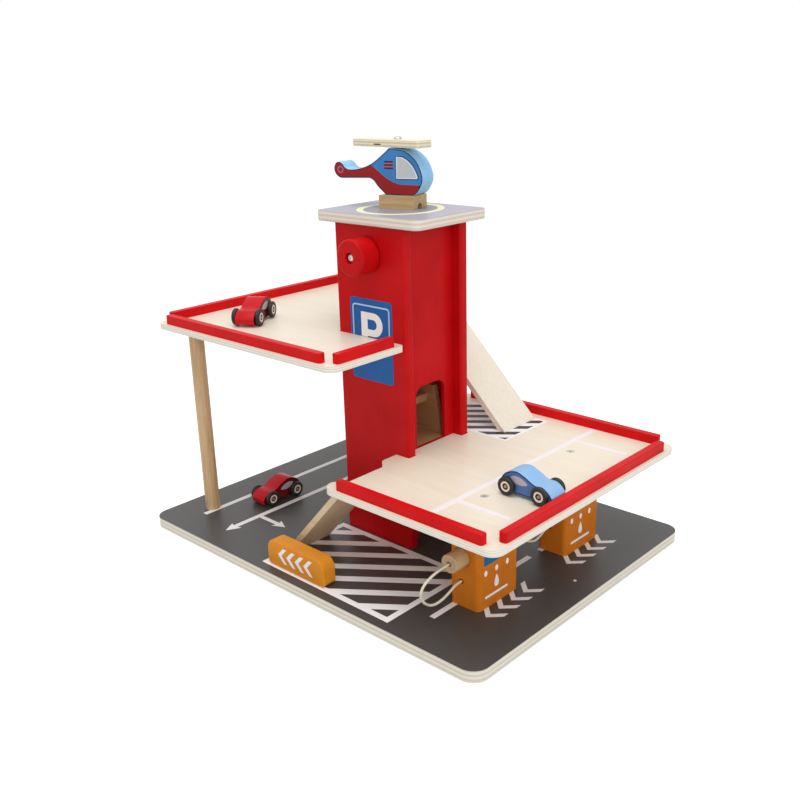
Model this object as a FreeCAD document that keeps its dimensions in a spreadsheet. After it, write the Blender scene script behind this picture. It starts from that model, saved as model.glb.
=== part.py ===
import FreeCAD, Part
import math
import os
import re
import Sketcher
from FreeCAD import Placement, Rotation, Vector

# Toy parking garage with a hand-wound lift, in millimetres.
# The origin is the middle of the base board's underside. +X runs towards the lower deck,
# -Y towards the side with the knob, and +Z up.

# Driving dimensions. Heights called level or top are measured from the table.
SIZES = {
    # Base board
    "base_length": 460,
    "base_width": 342,
    "base_thickness": 11,
    "base_corner": 16,
    # Tower: two thick side panels, and two thin door panels held in their grooves
    "tower_length": 92,
    "tower_depth": 92,
    "tower_top": 335.5,
    "side_panel": 11,
    "side_panel_edge": 3,
    "door_panel": 4,
    "door_setback": 11.5,
    "groove_depth": 2,
    "groove_play": 0.1,
    "door_width": 43,
    "door_height": 64,
    "door_corner": 10,
    # Helipad board on the tower
    "helipad_length": 135,
    "helipad_width": 102,
    "helipad_thickness": 10,
    "helipad_corner": 8,
    "helipad_edge": 1.2,
    # Decks: level is the top surface, reach is from the tower's middle to the far edge
    "lower_level": 111,
    "upper_level": 226,
    "deck_thickness": 6,
    "deck_corner": 12,
    "deck_play": 0.1,
    "lower_reach": 230,
    "lower_width": 295,
    "upper_reach": 229,
    "upper_width": 282,
    "wing_reach": 43.5,
    "ramp_edge": 40.5,
    "tongue_edge": 29,
    "lower_tongue_start": 21,
    "upper_tongue_start": 12,
    "tongue_slant": 10.5,
    "tongue_round": 7,
    "strip_round": 5,
    "finger_round": 2,
    "wing_round": 4,
    # Rails glued on the decks
    "rail_width": 8.2,
    "rail_height": 9.3,
    "rail_inset": 3,
    "rail_corner": 2.75,
    "rail_edge": 0.8,
    "rail_ramp_gap": 4,
    "rail_tower_gap": 9,
    "rail_wing_gap": 18,
    "lower_long_rail_gap": 15.5,
    "lower_end_rail_gap": 18.5,
    "lower_inner_rail_gap": 18.5,
    "upper_long_rail_gap": 14.5,
    "upper_end_rail_gap": 14.5,
    "upper_inner_rail_gap": 11.5,
    # Posts under the upper deck
    "post_diameter": 16,
    "post_end_inset": 35,
    "post_side_inset": 25,
    # Ramps: run is the level distance from the deck's edge to the foot
    "ramp_width": 54,
    "ramp_thickness": 6,
    "ramp_play": 0.1,
    "lower_ramp_run": 91,
    "lower_ramp_offset": 105,
    "upper_ramp_run": 116,
    "upper_ramp_offset": 97,
    # Barrier block
    "barrier_length": 81.5,
    "barrier_height": 27.5,
    "barrier_depth": 16,
    "barrier_x": -4.75,
    "barrier_side_inset": 21.5,
    "barrier_top_corner": 10.5,
    "barrier_low_corner": 5,
    "barrier_edge": 1.5,
    # Fuel pumps that carry the lower deck
    "pump_width": 33,
    "pump_length": 59,
    "pump_inset": 73.5,
    "pump_front_y": -67,
    "pump_rear_y": 70,
    "pump_edge": 4.5,
    # Nozzles plugged in the pumps, and their hoses
    "nozzle_diameter": 18,
    "nozzle_out": 17,
    "nozzle_plug": 10,
    "nozzle_play": 0.3,
    "nozzle_level": 60.5,
    "nozzle_shift": 3,
    "nozzle_edge": 1,
    "hose_diameter": 2.4,
    # Winding gear
    "crank_x": -1.5,
    "crank_drop": 28,
    "axle_diameter": 8,
    "axle_play": 0.05,
    "axle_blind": 8,
    "axle_end_play": 0.3,
    "knob_diameter": 35,
    "knob_length": 24,
    "knob_gap": 0.3,
    "knob_edge": 2.5,
    "knob_grip": 14,
    "knob_recess": 10.8,
    "knob_recess_depth": 4,
    "cord_diameter": 1.5,
    "cord_gap": 0.1,
    # Lift cabin, at rest on the lower deck's level
    "lift_end_play": 1,
    "lift_side_play": 1.5,
    "lift_floor": 5,
    "lift_side": 7.5,
    "lift_foot_half": 26.5,
    "lift_top_half": 14.8,
    "lift_height": 56,
    "lift_bar": 7,
    "lift_bar_low": 38,
    "lift_bar_height": 8,
    # Helicopter on the pad, turned about the pad's upright
    "helicopter_x": -3.5,
    "helicopter_y": 7.6,
    "helicopter_heading": 13,
    "helicopter_length": 98.5,
    "helicopter_height": 44.2,
    "helicopter_width": 21.7,
    "skid_length": 37.6,
    "skid_width": 27.8,
    "skid_height": 12.8,
    "skid_arch_radius": 4.5,
    "skid_arch_height": 5,
    "rotor_length": 90.5,
    "rotor_width": 20,
    "rotor_thickness": 7.2,
    "rotor_corner": 3,
    "rotor_edge": 0.8,
    "rotor_back": 4,
    "rotor_shift": 9,
    "rotor_heading": -15,
    "rotor_gap": 0.3,
    # Cars: lengths are measured from the middle of the wheelbase
    "car_wheelbase": 35.5,
    "car_tail": 27.5,
    "car_nose": 28.8,
    "car_belly": 3,
    "car_roof": 24.4,
    "car_roof_back": 10,
    "car_dip": 16.6,
    "car_dip_front": 10.5,
    "car_tail_height": 8,
    "car_nose_height": 8.5,
    "car_width": 20.5,
    "car_edge": 1,
    "tyre_diameter": 17.6,
    "tyre_round": 1.2,
    "hub_diameter": 9.8,
    "hub_peg_diameter": 5.2,
    "hub_peg_out": 0.4,
    "car_axle_diameter": 4,
    "car_axle_play": 0.08,
    "wheel_gap": 0.4,
    "wheel_width": 4.7,
    "roll_gap": 0.2,
    "tyre_play": 0.03,
    # Places of the three cars
    "blue_car_gap": 1.5,
    "blue_car_y": -41,
    "yard_car_x": -157.5,
    "yard_car_y": -51.6,
    "upper_car_end_inset": 82.3,
    "upper_car_side_inset": 68,
    "upper_car_heading": -60.3,
    # Wood screws
    "screw_head": 8,
    "screw_shank": 4,
    "screw_play": 0.15,
    "screw_sunk": 0.3,
    "base_screw_length": 28,
    "deck_screw_length": 21,
    "pan_head_height": 2.6,
    "pan_head_gap": 0.2,
    "rotor_screw_depth": 15,
    "knob_screw_depth": 12,
    "pilot_extra": 1,
    "pump_screw_gap": 18,
    "tower_screw_gap": 28,
    "barrier_screw_gap": 24,
}

document = FreeCAD.newDocument("toy_parking_garage")
sheet = document.addObject("Spreadsheet::Sheet", "dims")
for row, (word, number) in enumerate(SIZES.items(), 1):
    sheet.set("A%d" % row, word)
    sheet.set("B%d" % row, str(number))
    sheet.setAlias("B%d" % row, word)
document.recompute()

pieces = []


def mm(word):
    """The sheet's number for a word."""
    return float(getattr(sheet, word))


def bound(formula):
    """Put the sheet's name before each of its words in a formula."""
    def named(found):
        word = found.group()
        return "dims." + word if word in SIZES else word
    return re.sub(r"\b[a-z]\w*", named, formula)


def new_body(label):
    """An empty body that is one piece of the toy."""
    body = document.addObject("PartDesign::Body", label)
    body.Label = label
    pieces.append(body)
    return body


def new_sketch(body, role, height):
    """A sketch parallel to an origin plane, at a height along that plane's normal."""
    plane = [found for found in body.Origin.OriginFeatures if found.Role == role][0]
    sketch = body.newObject("Sketcher::SketchObject", body.Name + "_sketch")
    sketch.AttachmentSupport = [(plane, "")]
    sketch.MapMode = "FlatFace"
    sketch.setExpression("AttachmentOffset.Base.z", bound(height))
    return sketch


def fix_point(sketch, geometry, point, across, up):
    """Tie a point of a sketch to its two distances from the sketch's origin."""
    for direction, formula in (("DistanceX", across), ("DistanceY", up)):
        number = sketch.addConstraint(Sketcher.Constraint(direction, -1, 1, geometry, point, 1.0))
        sketch.setExpression("Constraints[%d]" % number, bound(formula))


def outline(body, role, height, corners):
    """A closed outline of straight lines. Each corner is a pair of formulas."""
    sketch = new_sketch(body, role, height)
    count = len(corners)
    start_radius = 50
    turns = [2 * math.pi * number / count for number in range(count)]
    points = [Vector(math.cos(turn), math.sin(turn), 0) * start_radius for turn in turns]
    for number in range(count):
        sketch.addGeometry(Part.LineSegment(points[number], points[(number + 1) % count]), False)
    for number in range(count):
        sketch.addConstraint(Sketcher.Constraint("Coincident", number, 2, (number + 1) % count, 1))
    for number, (across, up) in enumerate(corners):
        fix_point(sketch, number, 1, across, up)
    document.recompute()
    return sketch


def rectangle(body, role, height, low_x, high_x, low_y, high_y):
    """A rectangular outline from four formulas."""
    corners = [(low_x, low_y), (high_x, low_y), (high_x, high_y), (low_x, high_y)]
    return outline(body, role, height, corners)


def circles(body, role, height, places, diameter):
    """Equal circles, each at a pair of formulas."""
    sketch = new_sketch(body, role, height)
    spacing = 10
    for number, (across, up) in enumerate(places):
        middle = Vector(number * spacing, 0, 0)
        sketch.addGeometry(Part.Circle(middle, Vector(0, 0, 1), 1), False)
        fix_point(sketch, number, 3, across, up)
        place = sketch.addConstraint(Sketcher.Constraint("Radius", number, 1.0))
        sketch.setExpression("Constraints[%d]" % place, bound("(%s) / 2" % diameter))
    document.recompute()
    return sketch


def pad(body, sketch, length, backwards=False):
    """Draw a sketch out along its plane's normal, or backwards."""
    feature = body.newObject("PartDesign::Pad", body.Name + "_pad")
    feature.Profile = sketch
    feature.setExpression("Length", bound(length))
    feature.Reversed = backwards
    document.recompute()
    return feature


def cut(body, sketch, depth, along_normal=False):
    """Cut a sketch into the body, against its plane's normal or along it."""
    before = body.Shape.Volume
    feature = body.newObject("PartDesign::Pocket", body.Name + "_cut")
    feature.Profile = sketch
    feature.setExpression("Length", bound(depth))
    feature.Reversed = along_normal
    document.recompute()
    if body.Shape.Volume > before - 0.1:
        raise RuntimeError("a cut in %s removes nothing" % body.Label)
    return feature


def corner_edges(feature, sketch, numbers):
    """Names of the edges that stand on the given corners of a sketch."""
    normal = sketch.Placement.Rotation.multVec(Vector(0, 0, 1))
    near = 1e-4
    names = []
    for number in numbers:
        corner = sketch.Placement.multVec(sketch.Geometry[number].StartPoint)
        for place, edge in enumerate(feature.Shape.Edges, 1):
            first = edge.firstVertex().Point
            run = edge.lastVertex().Point - first
            stands = run.Length > near and run.cross(normal).Length < near
            if stands and (first - corner).cross(normal).Length < near:
                names.append("Edge%d" % place)
    return names


def level_edges(feature, axis, level, radius=None):
    """Names of the edges that lie in one plane, or only the circles of one radius there."""
    near = 1e-4
    names = []
    for place, edge in enumerate(feature.Shape.Edges, 1):
        low, high = edge.ParameterRange
        points = [edge.valueAt(low), edge.valueAt((low + high) / 2), edge.valueAt(high)]
        if max(abs(point[axis] - level) for point in points) > near:
            continue
        edge_radius = getattr(edge.Curve, "Radius", None)
        if radius is None or (edge_radius and abs(edge_radius - radius) < near):
            names.append("Edge%d" % place)
    return names


def dress(body, kind, feature, names, prop, formula):
    """Round or chamfer edges of the body's last feature."""
    if not names:
        raise RuntimeError("no edges were found in %s" % body.Label)
    dressed = body.newObject("PartDesign::" + kind, "%s_%s" % (body.Name, kind.lower()))
    dressed.Base = (feature, names)
    dressed.setExpression(prop, bound(formula))
    document.recompute()
    return dressed


def round_edges(body, feature, names, radius):
    """Round edges to a radius."""
    return dress(body, "Fillet", feature, names, "Radius", radius)


def keep_shape(label, shape, place=None):
    """A piece whose outline is carved freely, as one object with its place."""
    piece = document.addObject("Part::Feature", label)
    piece.Label = label
    piece.Shape = shape
    if place is not None:
        piece.Placement = place
    pieces.append(piece)
    return piece


# Places that several pieces share, as formulas
POST_X = "-(upper_reach - post_end_inset)"
POST_Y = "(upper_width / 2 - post_side_inset)"
POSTS = {"front": (POST_X, "-" + POST_Y), "rear": (POST_X, POST_Y)}
PUMP_X = "(lower_reach - pump_inset)"
PUMPS = {"front": "pump_front_y", "rear": "pump_rear_y"}
BARRIER_INSET = "base_width / 2 - barrier_side_inset"
BARRIER_Y = "-(%s)" % BARRIER_INSET
PANEL_Y = "(tower_depth - side_panel) / 2"
SHAFT_Y = "(tower_depth / 2 - side_panel)"
DOOR_FACE_X = "(tower_length / 2 - door_setback)"
CRANK_Z = "(tower_top - crank_drop)"
SCREW_HOLE = "(screw_shank + 2 * screw_play)"
BASE_PILOT = "(base_screw_length + screw_sunk - base_thickness + pilot_extra)"
DECK_PILOT = "(deck_screw_length + screw_sunk - deck_thickness + pilot_extra)"


def pump_screws(middle):
    """The two screws under a pump."""
    return [(PUMP_X, middle + " - pump_screw_gap"), (PUMP_X, middle + " + pump_screw_gap")]


def panel_screws(sign):
    """The two screws under a side panel."""
    across = sign + PANEL_Y
    return [("-tower_screw_gap", across), ("tower_screw_gap", across)]


BARRIER_SCREWS = [
    ("barrier_x - barrier_screw_gap", BARRIER_Y),
    ("barrier_x + barrier_screw_gap", BARRIER_Y),
]
BASE_SCREWS = list(POSTS.values()) + BARRIER_SCREWS + panel_screws("-") + panel_screws("")
for pump_middle in PUMPS.values():
    BASE_SCREWS += pump_screws(pump_middle)
LOWER_DECK_SCREWS = [(PUMP_X, pump_middle) for pump_middle in PUMPS.values()]
UPPER_DECK_SCREWS = list(POSTS.values())


def countersunk_holes(body, surface, thickness, places, opens_up):
    """Screw holes through a board, with a cone for the heads in one face."""
    low = surface if not opens_up else "(%s) - %s" % (surface, thickness)
    sketch = circles(body, "XY_Plane", low, places, SCREW_HOLE)
    drilled = cut(body, sketch, thickness, along_normal=True)
    level = sketch.Placement.Base.z + (mm(thickness) if opens_up else 0)
    radius = (mm("screw_shank") + 2 * mm("screw_play")) / 2
    rims = level_edges(drilled, 2, level, radius)
    depth = "(screw_head - screw_shank) / 2 + screw_sunk"
    return dress(body, "Chamfer", drilled, rims, "Size", depth)


def pilots_below(body, places):
    """Blind holes in a piece's foot for the screws that come up through the base board."""
    sketch = circles(body, "XY_Plane", "base_thickness", places, SCREW_HOLE)
    return cut(body, sketch, BASE_PILOT, along_normal=True)


def pilot_above(body, level, place):
    """A blind hole in a piece's top for the screw that comes down through a deck."""
    sketch = circles(body, "XY_Plane", level + " - deck_thickness", [place], SCREW_HOLE)
    return cut(body, sketch, DECK_PILOT)


def wood_screws(label, places, surface, points_up, length):
    """A set of countersunk wood screws, their heads just below a surface."""
    screws = []
    for number, (across, along) in enumerate(places, 1):
        head = document.addObject("Part::Cone", "%s_head_%d" % (label, number))
        shank = document.addObject("Part::Cylinder", "%s_shank_%d" % (label, number))
        for solid in (head, shank):
            solid.setExpression("Placement.Base.x", bound(across))
            solid.setExpression("Placement.Base.y", bound(along))
        head.setExpression("Height", bound("(screw_head - screw_shank) / 2"))
        shank.setExpression("Height", bound(length))
        shank.setExpression("Radius", bound("screw_shank / 2"))
        wide, narrow = bound("screw_head / 2"), bound("screw_shank / 2")
        head.setExpression("Radius1", wide if points_up else narrow)
        head.setExpression("Radius2", narrow if points_up else wide)
        if points_up:
            head.setExpression("Placement.Base.z", bound(surface + " + screw_sunk"))
            shank.setExpression("Placement.Base.z", bound(surface + " + screw_sunk"))
        else:
            cone_low = surface + " - screw_sunk - (screw_head - screw_shank) / 2"
            head.setExpression("Placement.Base.z", bound(cone_low))
            shank.setExpression("Placement.Base.z", bound("%s - screw_sunk - %s" % (surface, length)))
        screw = document.addObject("Part::MultiFuse", "%s_%d" % (label, number))
        screw.Shapes = [head, shank]
        screws.append(screw)
    group = document.addObject("Part::Compound", label)
    group.Label = label
    group.Links = screws
    pieces.append(group)
    document.recompute()


def base_board():
    """The plywood board that everything stands on."""
    body = new_body("base_board")
    sketch = rectangle(
        body, "XY_Plane", "0",
        "-base_length / 2", "base_length / 2", "-base_width / 2", "base_width / 2",
    )
    board = pad(body, sketch, "base_thickness")
    round_edges(body, board, corner_edges(board, sketch, range(4)), "base_corner")
    countersunk_holes(body, "0", "base_thickness", BASE_SCREWS, opens_up=False)


def side_panel(label, sign, bore_depth):
    """A thick tower panel with two upright grooves, drilled for the winding axle."""
    body = new_body(label)
    outer = sign + "tower_depth / 2"
    inner = sign + SHAFT_Y
    groove = "%s(tower_depth / 2 - side_panel + groove_depth)" % sign
    wide = "tower_length / 2"
    near_groove = "(tower_length / 2 - door_setback + groove_play)"
    far_groove = "(tower_length / 2 - door_setback - door_panel - groove_play)"
    corners = [
        ("-" + wide, outer), (wide, outer), (wide, inner),
        (near_groove, inner), (near_groove, groove), (far_groove, groove), (far_groove, inner),
        ("-" + far_groove, inner), ("-" + far_groove, groove),
        ("-" + near_groove, groove), ("-" + near_groove, inner), ("-" + wide, inner),
    ]
    sketch = outline(body, "XY_Plane", "base_thickness", corners)
    panel = pad(body, sketch, "tower_top - base_thickness")
    round_edges(body, panel, corner_edges(panel, sketch, (0, 1, 2, 11)), "side_panel_edge")
    pilots_below(body, panel_screws(sign))
    face = SHAFT_Y if sign == "-" else "-" + SHAFT_Y
    drill = circles(body, "XZ_Plane", face, [("crank_x", CRANK_Z)], "axle_diameter + 2 * axle_play")
    cut(body, drill, bore_depth, along_normal=(sign == "-"))


def door_panel(label, sign, levels):
    """A thin tower panel with an arched doorway at each level."""
    body = new_body(label)
    half = "(tower_depth / 2 - side_panel + groove_depth - groove_play)"
    outer = sign + DOOR_FACE_X
    inner = "%s(tower_length / 2 - door_setback - door_panel)" % sign
    sketch = rectangle(body, "XY_Plane", "base_thickness", outer, inner, "-" + half, half)
    panel = pad(body, sketch, "tower_top - base_thickness")
    for level in levels:
        face = outer if sign == "" else inner
        doorway = rectangle(
            body, "YZ_Plane", face,
            "-door_width / 2", "door_width / 2", level, level + " + door_height",
        )
        panel = cut(body, doorway, "door_panel")
        panel = round_edges(body, panel, corner_edges(panel, doorway, (2, 3)), "door_corner")


def turned_round(corners, sign):
    """Turn a deck's corners half round the tower for the deck on the other side."""
    if sign == "":
        return corners
    return [("-(%s)" % across, "-(%s)" % along) for across, along in corners]


def deck(name, sign, level, reach, width, tongue, screws):
    """A deck that wraps round the tower, with a tab in the doorway and a notch for the ramp."""
    body = new_body(name + "_deck")
    side = width + " / 2"
    clear_x = "(tower_length / 2 + deck_play)"
    clear_y = "(tower_depth / 2 + deck_play)"
    tab_x = "(tower_length / 2 - door_setback + deck_play)"
    tab_y = "(tower_depth / 2 - side_panel - deck_play)"
    notch = "-(%s_ramp_offset + ramp_width / 2 + ramp_play)" % name
    corners = [
        ("tongue_edge", "-" + side), (reach, "-" + side), (reach, side), ("-wing_reach", side),
        ("-wing_reach", clear_y), (clear_x, clear_y),
        (clear_x, tab_y), (tab_x, tab_y), (tab_x, "-" + tab_y), (clear_x, "-" + tab_y),
        (clear_x, "-" + clear_y), ("tongue_edge", "-" + clear_y),
        ("tongue_edge", "-(tower_depth / 2 + %s)" % tongue),
        ("ramp_edge", "-(tower_depth / 2 + %s + tongue_slant)" % tongue),
        ("ramp_edge", notch), ("tongue_edge", notch),
    ]
    sketch = outline(body, "XY_Plane", level + " - deck_thickness", turned_round(corners, sign))
    board = pad(body, sketch, "deck_thickness")
    board = round_edges(body, board, corner_edges(board, sketch, (0, 1, 2, 3)), "deck_corner")
    board = round_edges(body, board, corner_edges(board, sketch, (12,)), "tongue_round")
    board = round_edges(body, board, corner_edges(board, sketch, (13,)), "strip_round")
    board = round_edges(body, board, corner_edges(board, sketch, (15,)), "finger_round")
    round_edges(body, board, corner_edges(board, sketch, (4,)), "wing_round")
    countersunk_holes(body, level, "deck_thickness", screws, opens_up=True)


def rail(label, level, low_x, high_x, low_y, high_y):
    """A square rail with rounded ends, glued on a deck."""
    body = new_body(label)
    sketch = rectangle(body, "XY_Plane", level, low_x, high_x, low_y, high_y)
    bar = pad(body, sketch, "rail_height")
    bar = round_edges(body, bar, corner_edges(bar, sketch, range(4)), "rail_corner")
    top = mm(level) + mm("rail_height")
    round_edges(body, bar, level_edges(bar, 2, top), "rail_edge")


def rails(name, sign, level, reach, width):
    """The four rails of a deck."""
    near = "(%s / 2 - rail_inset - rail_width)" % width
    far = "(%s / 2 - rail_inset)" % width
    past = "(%s - %s_long_rail_gap)" % (reach, name)
    across = "(%s / 2 - %s_end_rail_gap)" % (width, name)
    spans = {
        "front": ("ramp_edge + rail_ramp_gap", past, "-" + far, "-" + near),
        "end": ("%s - rail_inset - rail_width" % reach, reach + " - rail_inset",
                "-" + across, across),
        "rear": ("-(wing_reach - rail_wing_gap)", past, near, far),
        "inner": ("-(wing_reach - rail_inset)", "-(wing_reach - rail_inset - rail_width)",
                  "tower_depth / 2 + rail_tower_gap", "%s / 2 - %s_inner_rail_gap" % (width, name)),
    }
    names = {"": ("front", "end", "rear", "inner"), "-": ("rear", "end", "front", "inner")}[sign]
    for own_name, (low_x, high_x, low_y, high_y) in zip(names, spans.values()):
        if sign == "-":
            low_x, high_x = "-(%s)" % high_x, "-(%s)" % low_x
            low_y, high_y = "-(%s)" % high_y, "-(%s)" % low_y
        rail("%s_%s_rail" % (name, own_name), level, low_x, high_x, low_y, high_y)


def ramp(label, sign, high_level, low_level, run):
    """A slanted board from a deck's edge down to the surface below."""
    body = new_body(label)
    rise = "(%s - %s)" % (high_level, low_level)
    slope = "sqrt(%s * %s + %s * %s)" % (run, run, rise, rise)
    edge = "(ramp_edge - ramp_play)"
    corners = [
        (edge, high_level),
        ("%s - %s" % (edge, run), low_level),
        ("%s - %s + ramp_thickness * %s / %s" % (edge, run, slope, rise), low_level),
        (edge, "%s - ramp_thickness * %s / %s" % (high_level, slope, run)),
    ]
    if sign == "-":
        corners = [("-(%s)" % across, up) for across, up in corners]
    front = "%s - ramp_width / 2" % ("lower_ramp_offset" if sign == "" else "-upper_ramp_offset")
    sketch = outline(body, "XZ_Plane", front, corners)
    pad(body, sketch, "ramp_width")


def post(name, place):
    """A round post between the base board and the upper deck."""
    body = new_body("deck_post_" + name)
    sketch = circles(body, "XY_Plane", "base_thickness", [place], "post_diameter")
    pad(body, sketch, "upper_level - deck_thickness - base_thickness")
    pilots_below(body, [place])
    pilot_above(body, "upper_level", place)


def barrier_block():
    """The upright block in front of the tower, with softened edges."""
    body = new_body("barrier_block")
    sketch = rectangle(
        body, "XZ_Plane", BARRIER_INSET + " - barrier_depth / 2",
        "barrier_x - barrier_length / 2", "barrier_x + barrier_length / 2",
        "base_thickness", "base_thickness + barrier_height",
    )
    block = pad(body, sketch, "barrier_depth")
    block = round_edges(body, block, corner_edges(block, sketch, (2, 3)), "barrier_top_corner")
    block = round_edges(body, block, corner_edges(block, sketch, (0, 1)), "barrier_low_corner")
    for side in (-1, 1):
        middle = mm("barrier_side_inset") - mm("base_width") / 2
        face = middle + side * mm("barrier_depth") / 2
        block = round_edges(body, block, level_edges(block, 1, face), "barrier_edge")
    pilots_below(body, BARRIER_SCREWS)


def fuel_pump(name, middle):
    """A block under the lower deck, drilled for its nozzle and its screws."""
    body = new_body("fuel_pump_" + name)
    sketch = rectangle(
        body, "XY_Plane", "base_thickness",
        PUMP_X + " - pump_width / 2", PUMP_X + " + pump_width / 2",
        middle + " - pump_length / 2", middle + " + pump_length / 2",
    )
    block = pad(body, sketch, "lower_level - deck_thickness - base_thickness")
    round_edges(body, block, corner_edges(block, sketch, range(4)), "pump_edge")
    pilots_below(body, pump_screws(middle))
    pilot_above(body, "lower_level", (PUMP_X, middle))
    socket = circles(
        body, "XZ_Plane", "-(%s - pump_length / 2)" % middle,
        [(PUMP_X + " - nozzle_shift", "nozzle_level")], "nozzle_diameter + 2 * nozzle_play",
    )
    cut(body, socket, "nozzle_plug")


def nozzle(name, middle):
    """A short dowel plugged in the pump, which pulls out."""
    body = new_body("nozzle_" + name)
    free_end = "-(%s - pump_length / 2 - nozzle_out)" % middle
    place = (PUMP_X + " - nozzle_shift", "nozzle_level")
    sketch = circles(body, "XZ_Plane", free_end, [place], "nozzle_diameter")
    dowel = pad(body, sketch, "nozzle_out + nozzle_plug - nozzle_play", backwards=True)
    face = mm(middle) - mm("pump_length") / 2 - mm("nozzle_out")
    round_edges(body, dowel, level_edges(dowel, 1, face), "nozzle_edge")


def tube(label, points, diameter):
    """A limp hose: straight runs joined by arcs as large as their runs allow."""
    arc_share = 0.45
    route = [Vector(*point) for point in points]
    edges = []
    radii = []
    start = route[0]
    for before, corner, after in zip(route, route[1:], route[2:]):
        inward = (corner - before).normalize()
        onward = (after - corner).normalize()
        half_turn = inward.getAngle(onward) / 2
        trim = arc_share * min((corner - before).Length, (after - corner).Length)
        radius = trim / math.tan(half_turn)
        towards = (onward - inward).normalize()
        arc_start = corner - inward * trim
        arc_end = corner + onward * trim
        arc_middle = corner + towards * (radius / math.cos(half_turn) - radius)
        edges.append(Part.LineSegment(start, arc_start).toShape())
        edges.append(Part.Arc(arc_start, arc_middle, arc_end).toShape())
        radii.append(round(radius, 1))
        start = arc_end
    edges.append(Part.LineSegment(start, route[-1]).toShape())
    path = Part.Wire(edges)
    ring = Part.Circle(route[0], route[1] - route[0], diameter / 2).toShape()
    solid = path.makePipeShell([Part.Wire([ring])], True, False)
    section = math.pi * diameter ** 2 / 4
    print(label, "radii", radii, "length", round(path.Length, 1),
          "volume ratio", round(solid.Volume / (section * path.Length), 4))
    keep_shape(label, solid)


def hoses():
    """The two hoses, from each nozzle's free end back to the pump's face."""
    axis_x = mm("lower_reach") - mm("pump_inset") - mm("nozzle_shift")
    level = mm("nozzle_level")
    front_face = mm("pump_front_y") - mm("pump_length") / 2
    rear_face = mm("pump_rear_y") - mm("pump_length") / 2
    out = mm("nozzle_out")
    front_route = [
        (axis_x, front_face - out, level), (axis_x, front_face - out - 9.5, level),
        (152.5, -135, 58), (150.5, -145, 51), (149, -147, 41), (148.5, -140.5, 31),
        (148.5, -130, 24.5), (150, -119.5, 26), (152.5, -112, 31.5),
        (axis_x, front_face - 8, 36.5), (axis_x, front_face, 36.5),
    ]
    rear_route = [
        (axis_x, rear_face - out, level), (axis_x, rear_face - out - 9.5, level),
        (152.5, 3.5, 58), (151, -2.5, 49), (151, 0.5, 40), (151.5, 8.5, 33.5),
        (152.5, 18, 31), (153, 26.5, 33.5), (axis_x, rear_face - 7.5, 38),
        (axis_x, rear_face, 38),
    ]
    tube("hose_front", front_route, mm("hose_diameter"))
    tube("hose_rear", rear_route, mm("hose_diameter"))


def winding_gear():
    """The axle across the tower, the knob on it and the screw that holds the knob."""
    axle = new_body("winding_axle")
    knob_back = "(tower_depth / 2 + knob_gap)"
    axle_front = knob_back + " + knob_grip"
    place = [("crank_x", CRANK_Z)]
    ring = circles(axle, "XZ_Plane", axle_front, place, "axle_diameter")
    length = "%s + %s + axle_blind - axle_end_play" % (axle_front, SHAFT_Y)
    pad(axle, ring, length, backwards=True)
    pilot = circles(axle, "XZ_Plane", axle_front, place, SCREW_HOLE)
    cut(axle, pilot, "knob_screw_depth + pilot_extra")

    knob = new_body("crank_knob")
    knob_front = knob_back + " + knob_length"
    ring = circles(knob, "XZ_Plane", knob_front, place, "knob_diameter")
    turned = pad(knob, ring, "knob_length", backwards=True)
    front = -(mm("tower_depth") / 2 + mm("knob_gap") + mm("knob_length"))
    for face in (front, front + mm("knob_length")):
        turned = round_edges(knob, turned, level_edges(turned, 1, face), "knob_edge")
    recess = circles(knob, "XZ_Plane", knob_front, place, "knob_recess")
    cut(knob, recess, "knob_recess_depth")
    hole = circles(knob, "XZ_Plane", knob_front, place, SCREW_HOLE)
    cut(knob, hole, "knob_length")
    grip = circles(knob, "XZ_Plane", knob_back, place, "axle_diameter + 2 * axle_play")
    cut(knob, grip, "knob_grip", along_normal=True)
    pan_screw(
        "knob_screw",
        Vector(mm("crank_x"), front + mm("knob_recess_depth") - mm("pan_head_gap"),
               mm("tower_top") - mm("crank_drop")),
        Rotation(Vector(1, 0, 0), 90),
        mm("knob_length") - mm("knob_recess_depth") - mm("knob_grip") + mm("knob_screw_depth"),
    )


def pan_screw(label, seat, turn, length):
    """A pan-head screw. Its head stands on the seat, and its shank goes the other way."""
    head = document.addObject("Part::Cylinder", label + "_head")
    head.setExpression("Radius", bound("screw_head / 2"))
    head.setExpression("Height", bound("pan_head_height"))
    shank = document.addObject("Part::Cylinder", label + "_shank")
    shank.setExpression("Radius", bound("screw_shank / 2"))
    shank.Height = length
    shank.Placement = Placement(Vector(0, 0, -length), Rotation())
    screw = document.addObject("Part::MultiFuse", label)
    screw.Label = label
    screw.Shapes = [head, shank]
    screw.Placement = Placement(seat, turn)
    pieces.append(screw)
    document.recompute()


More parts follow.
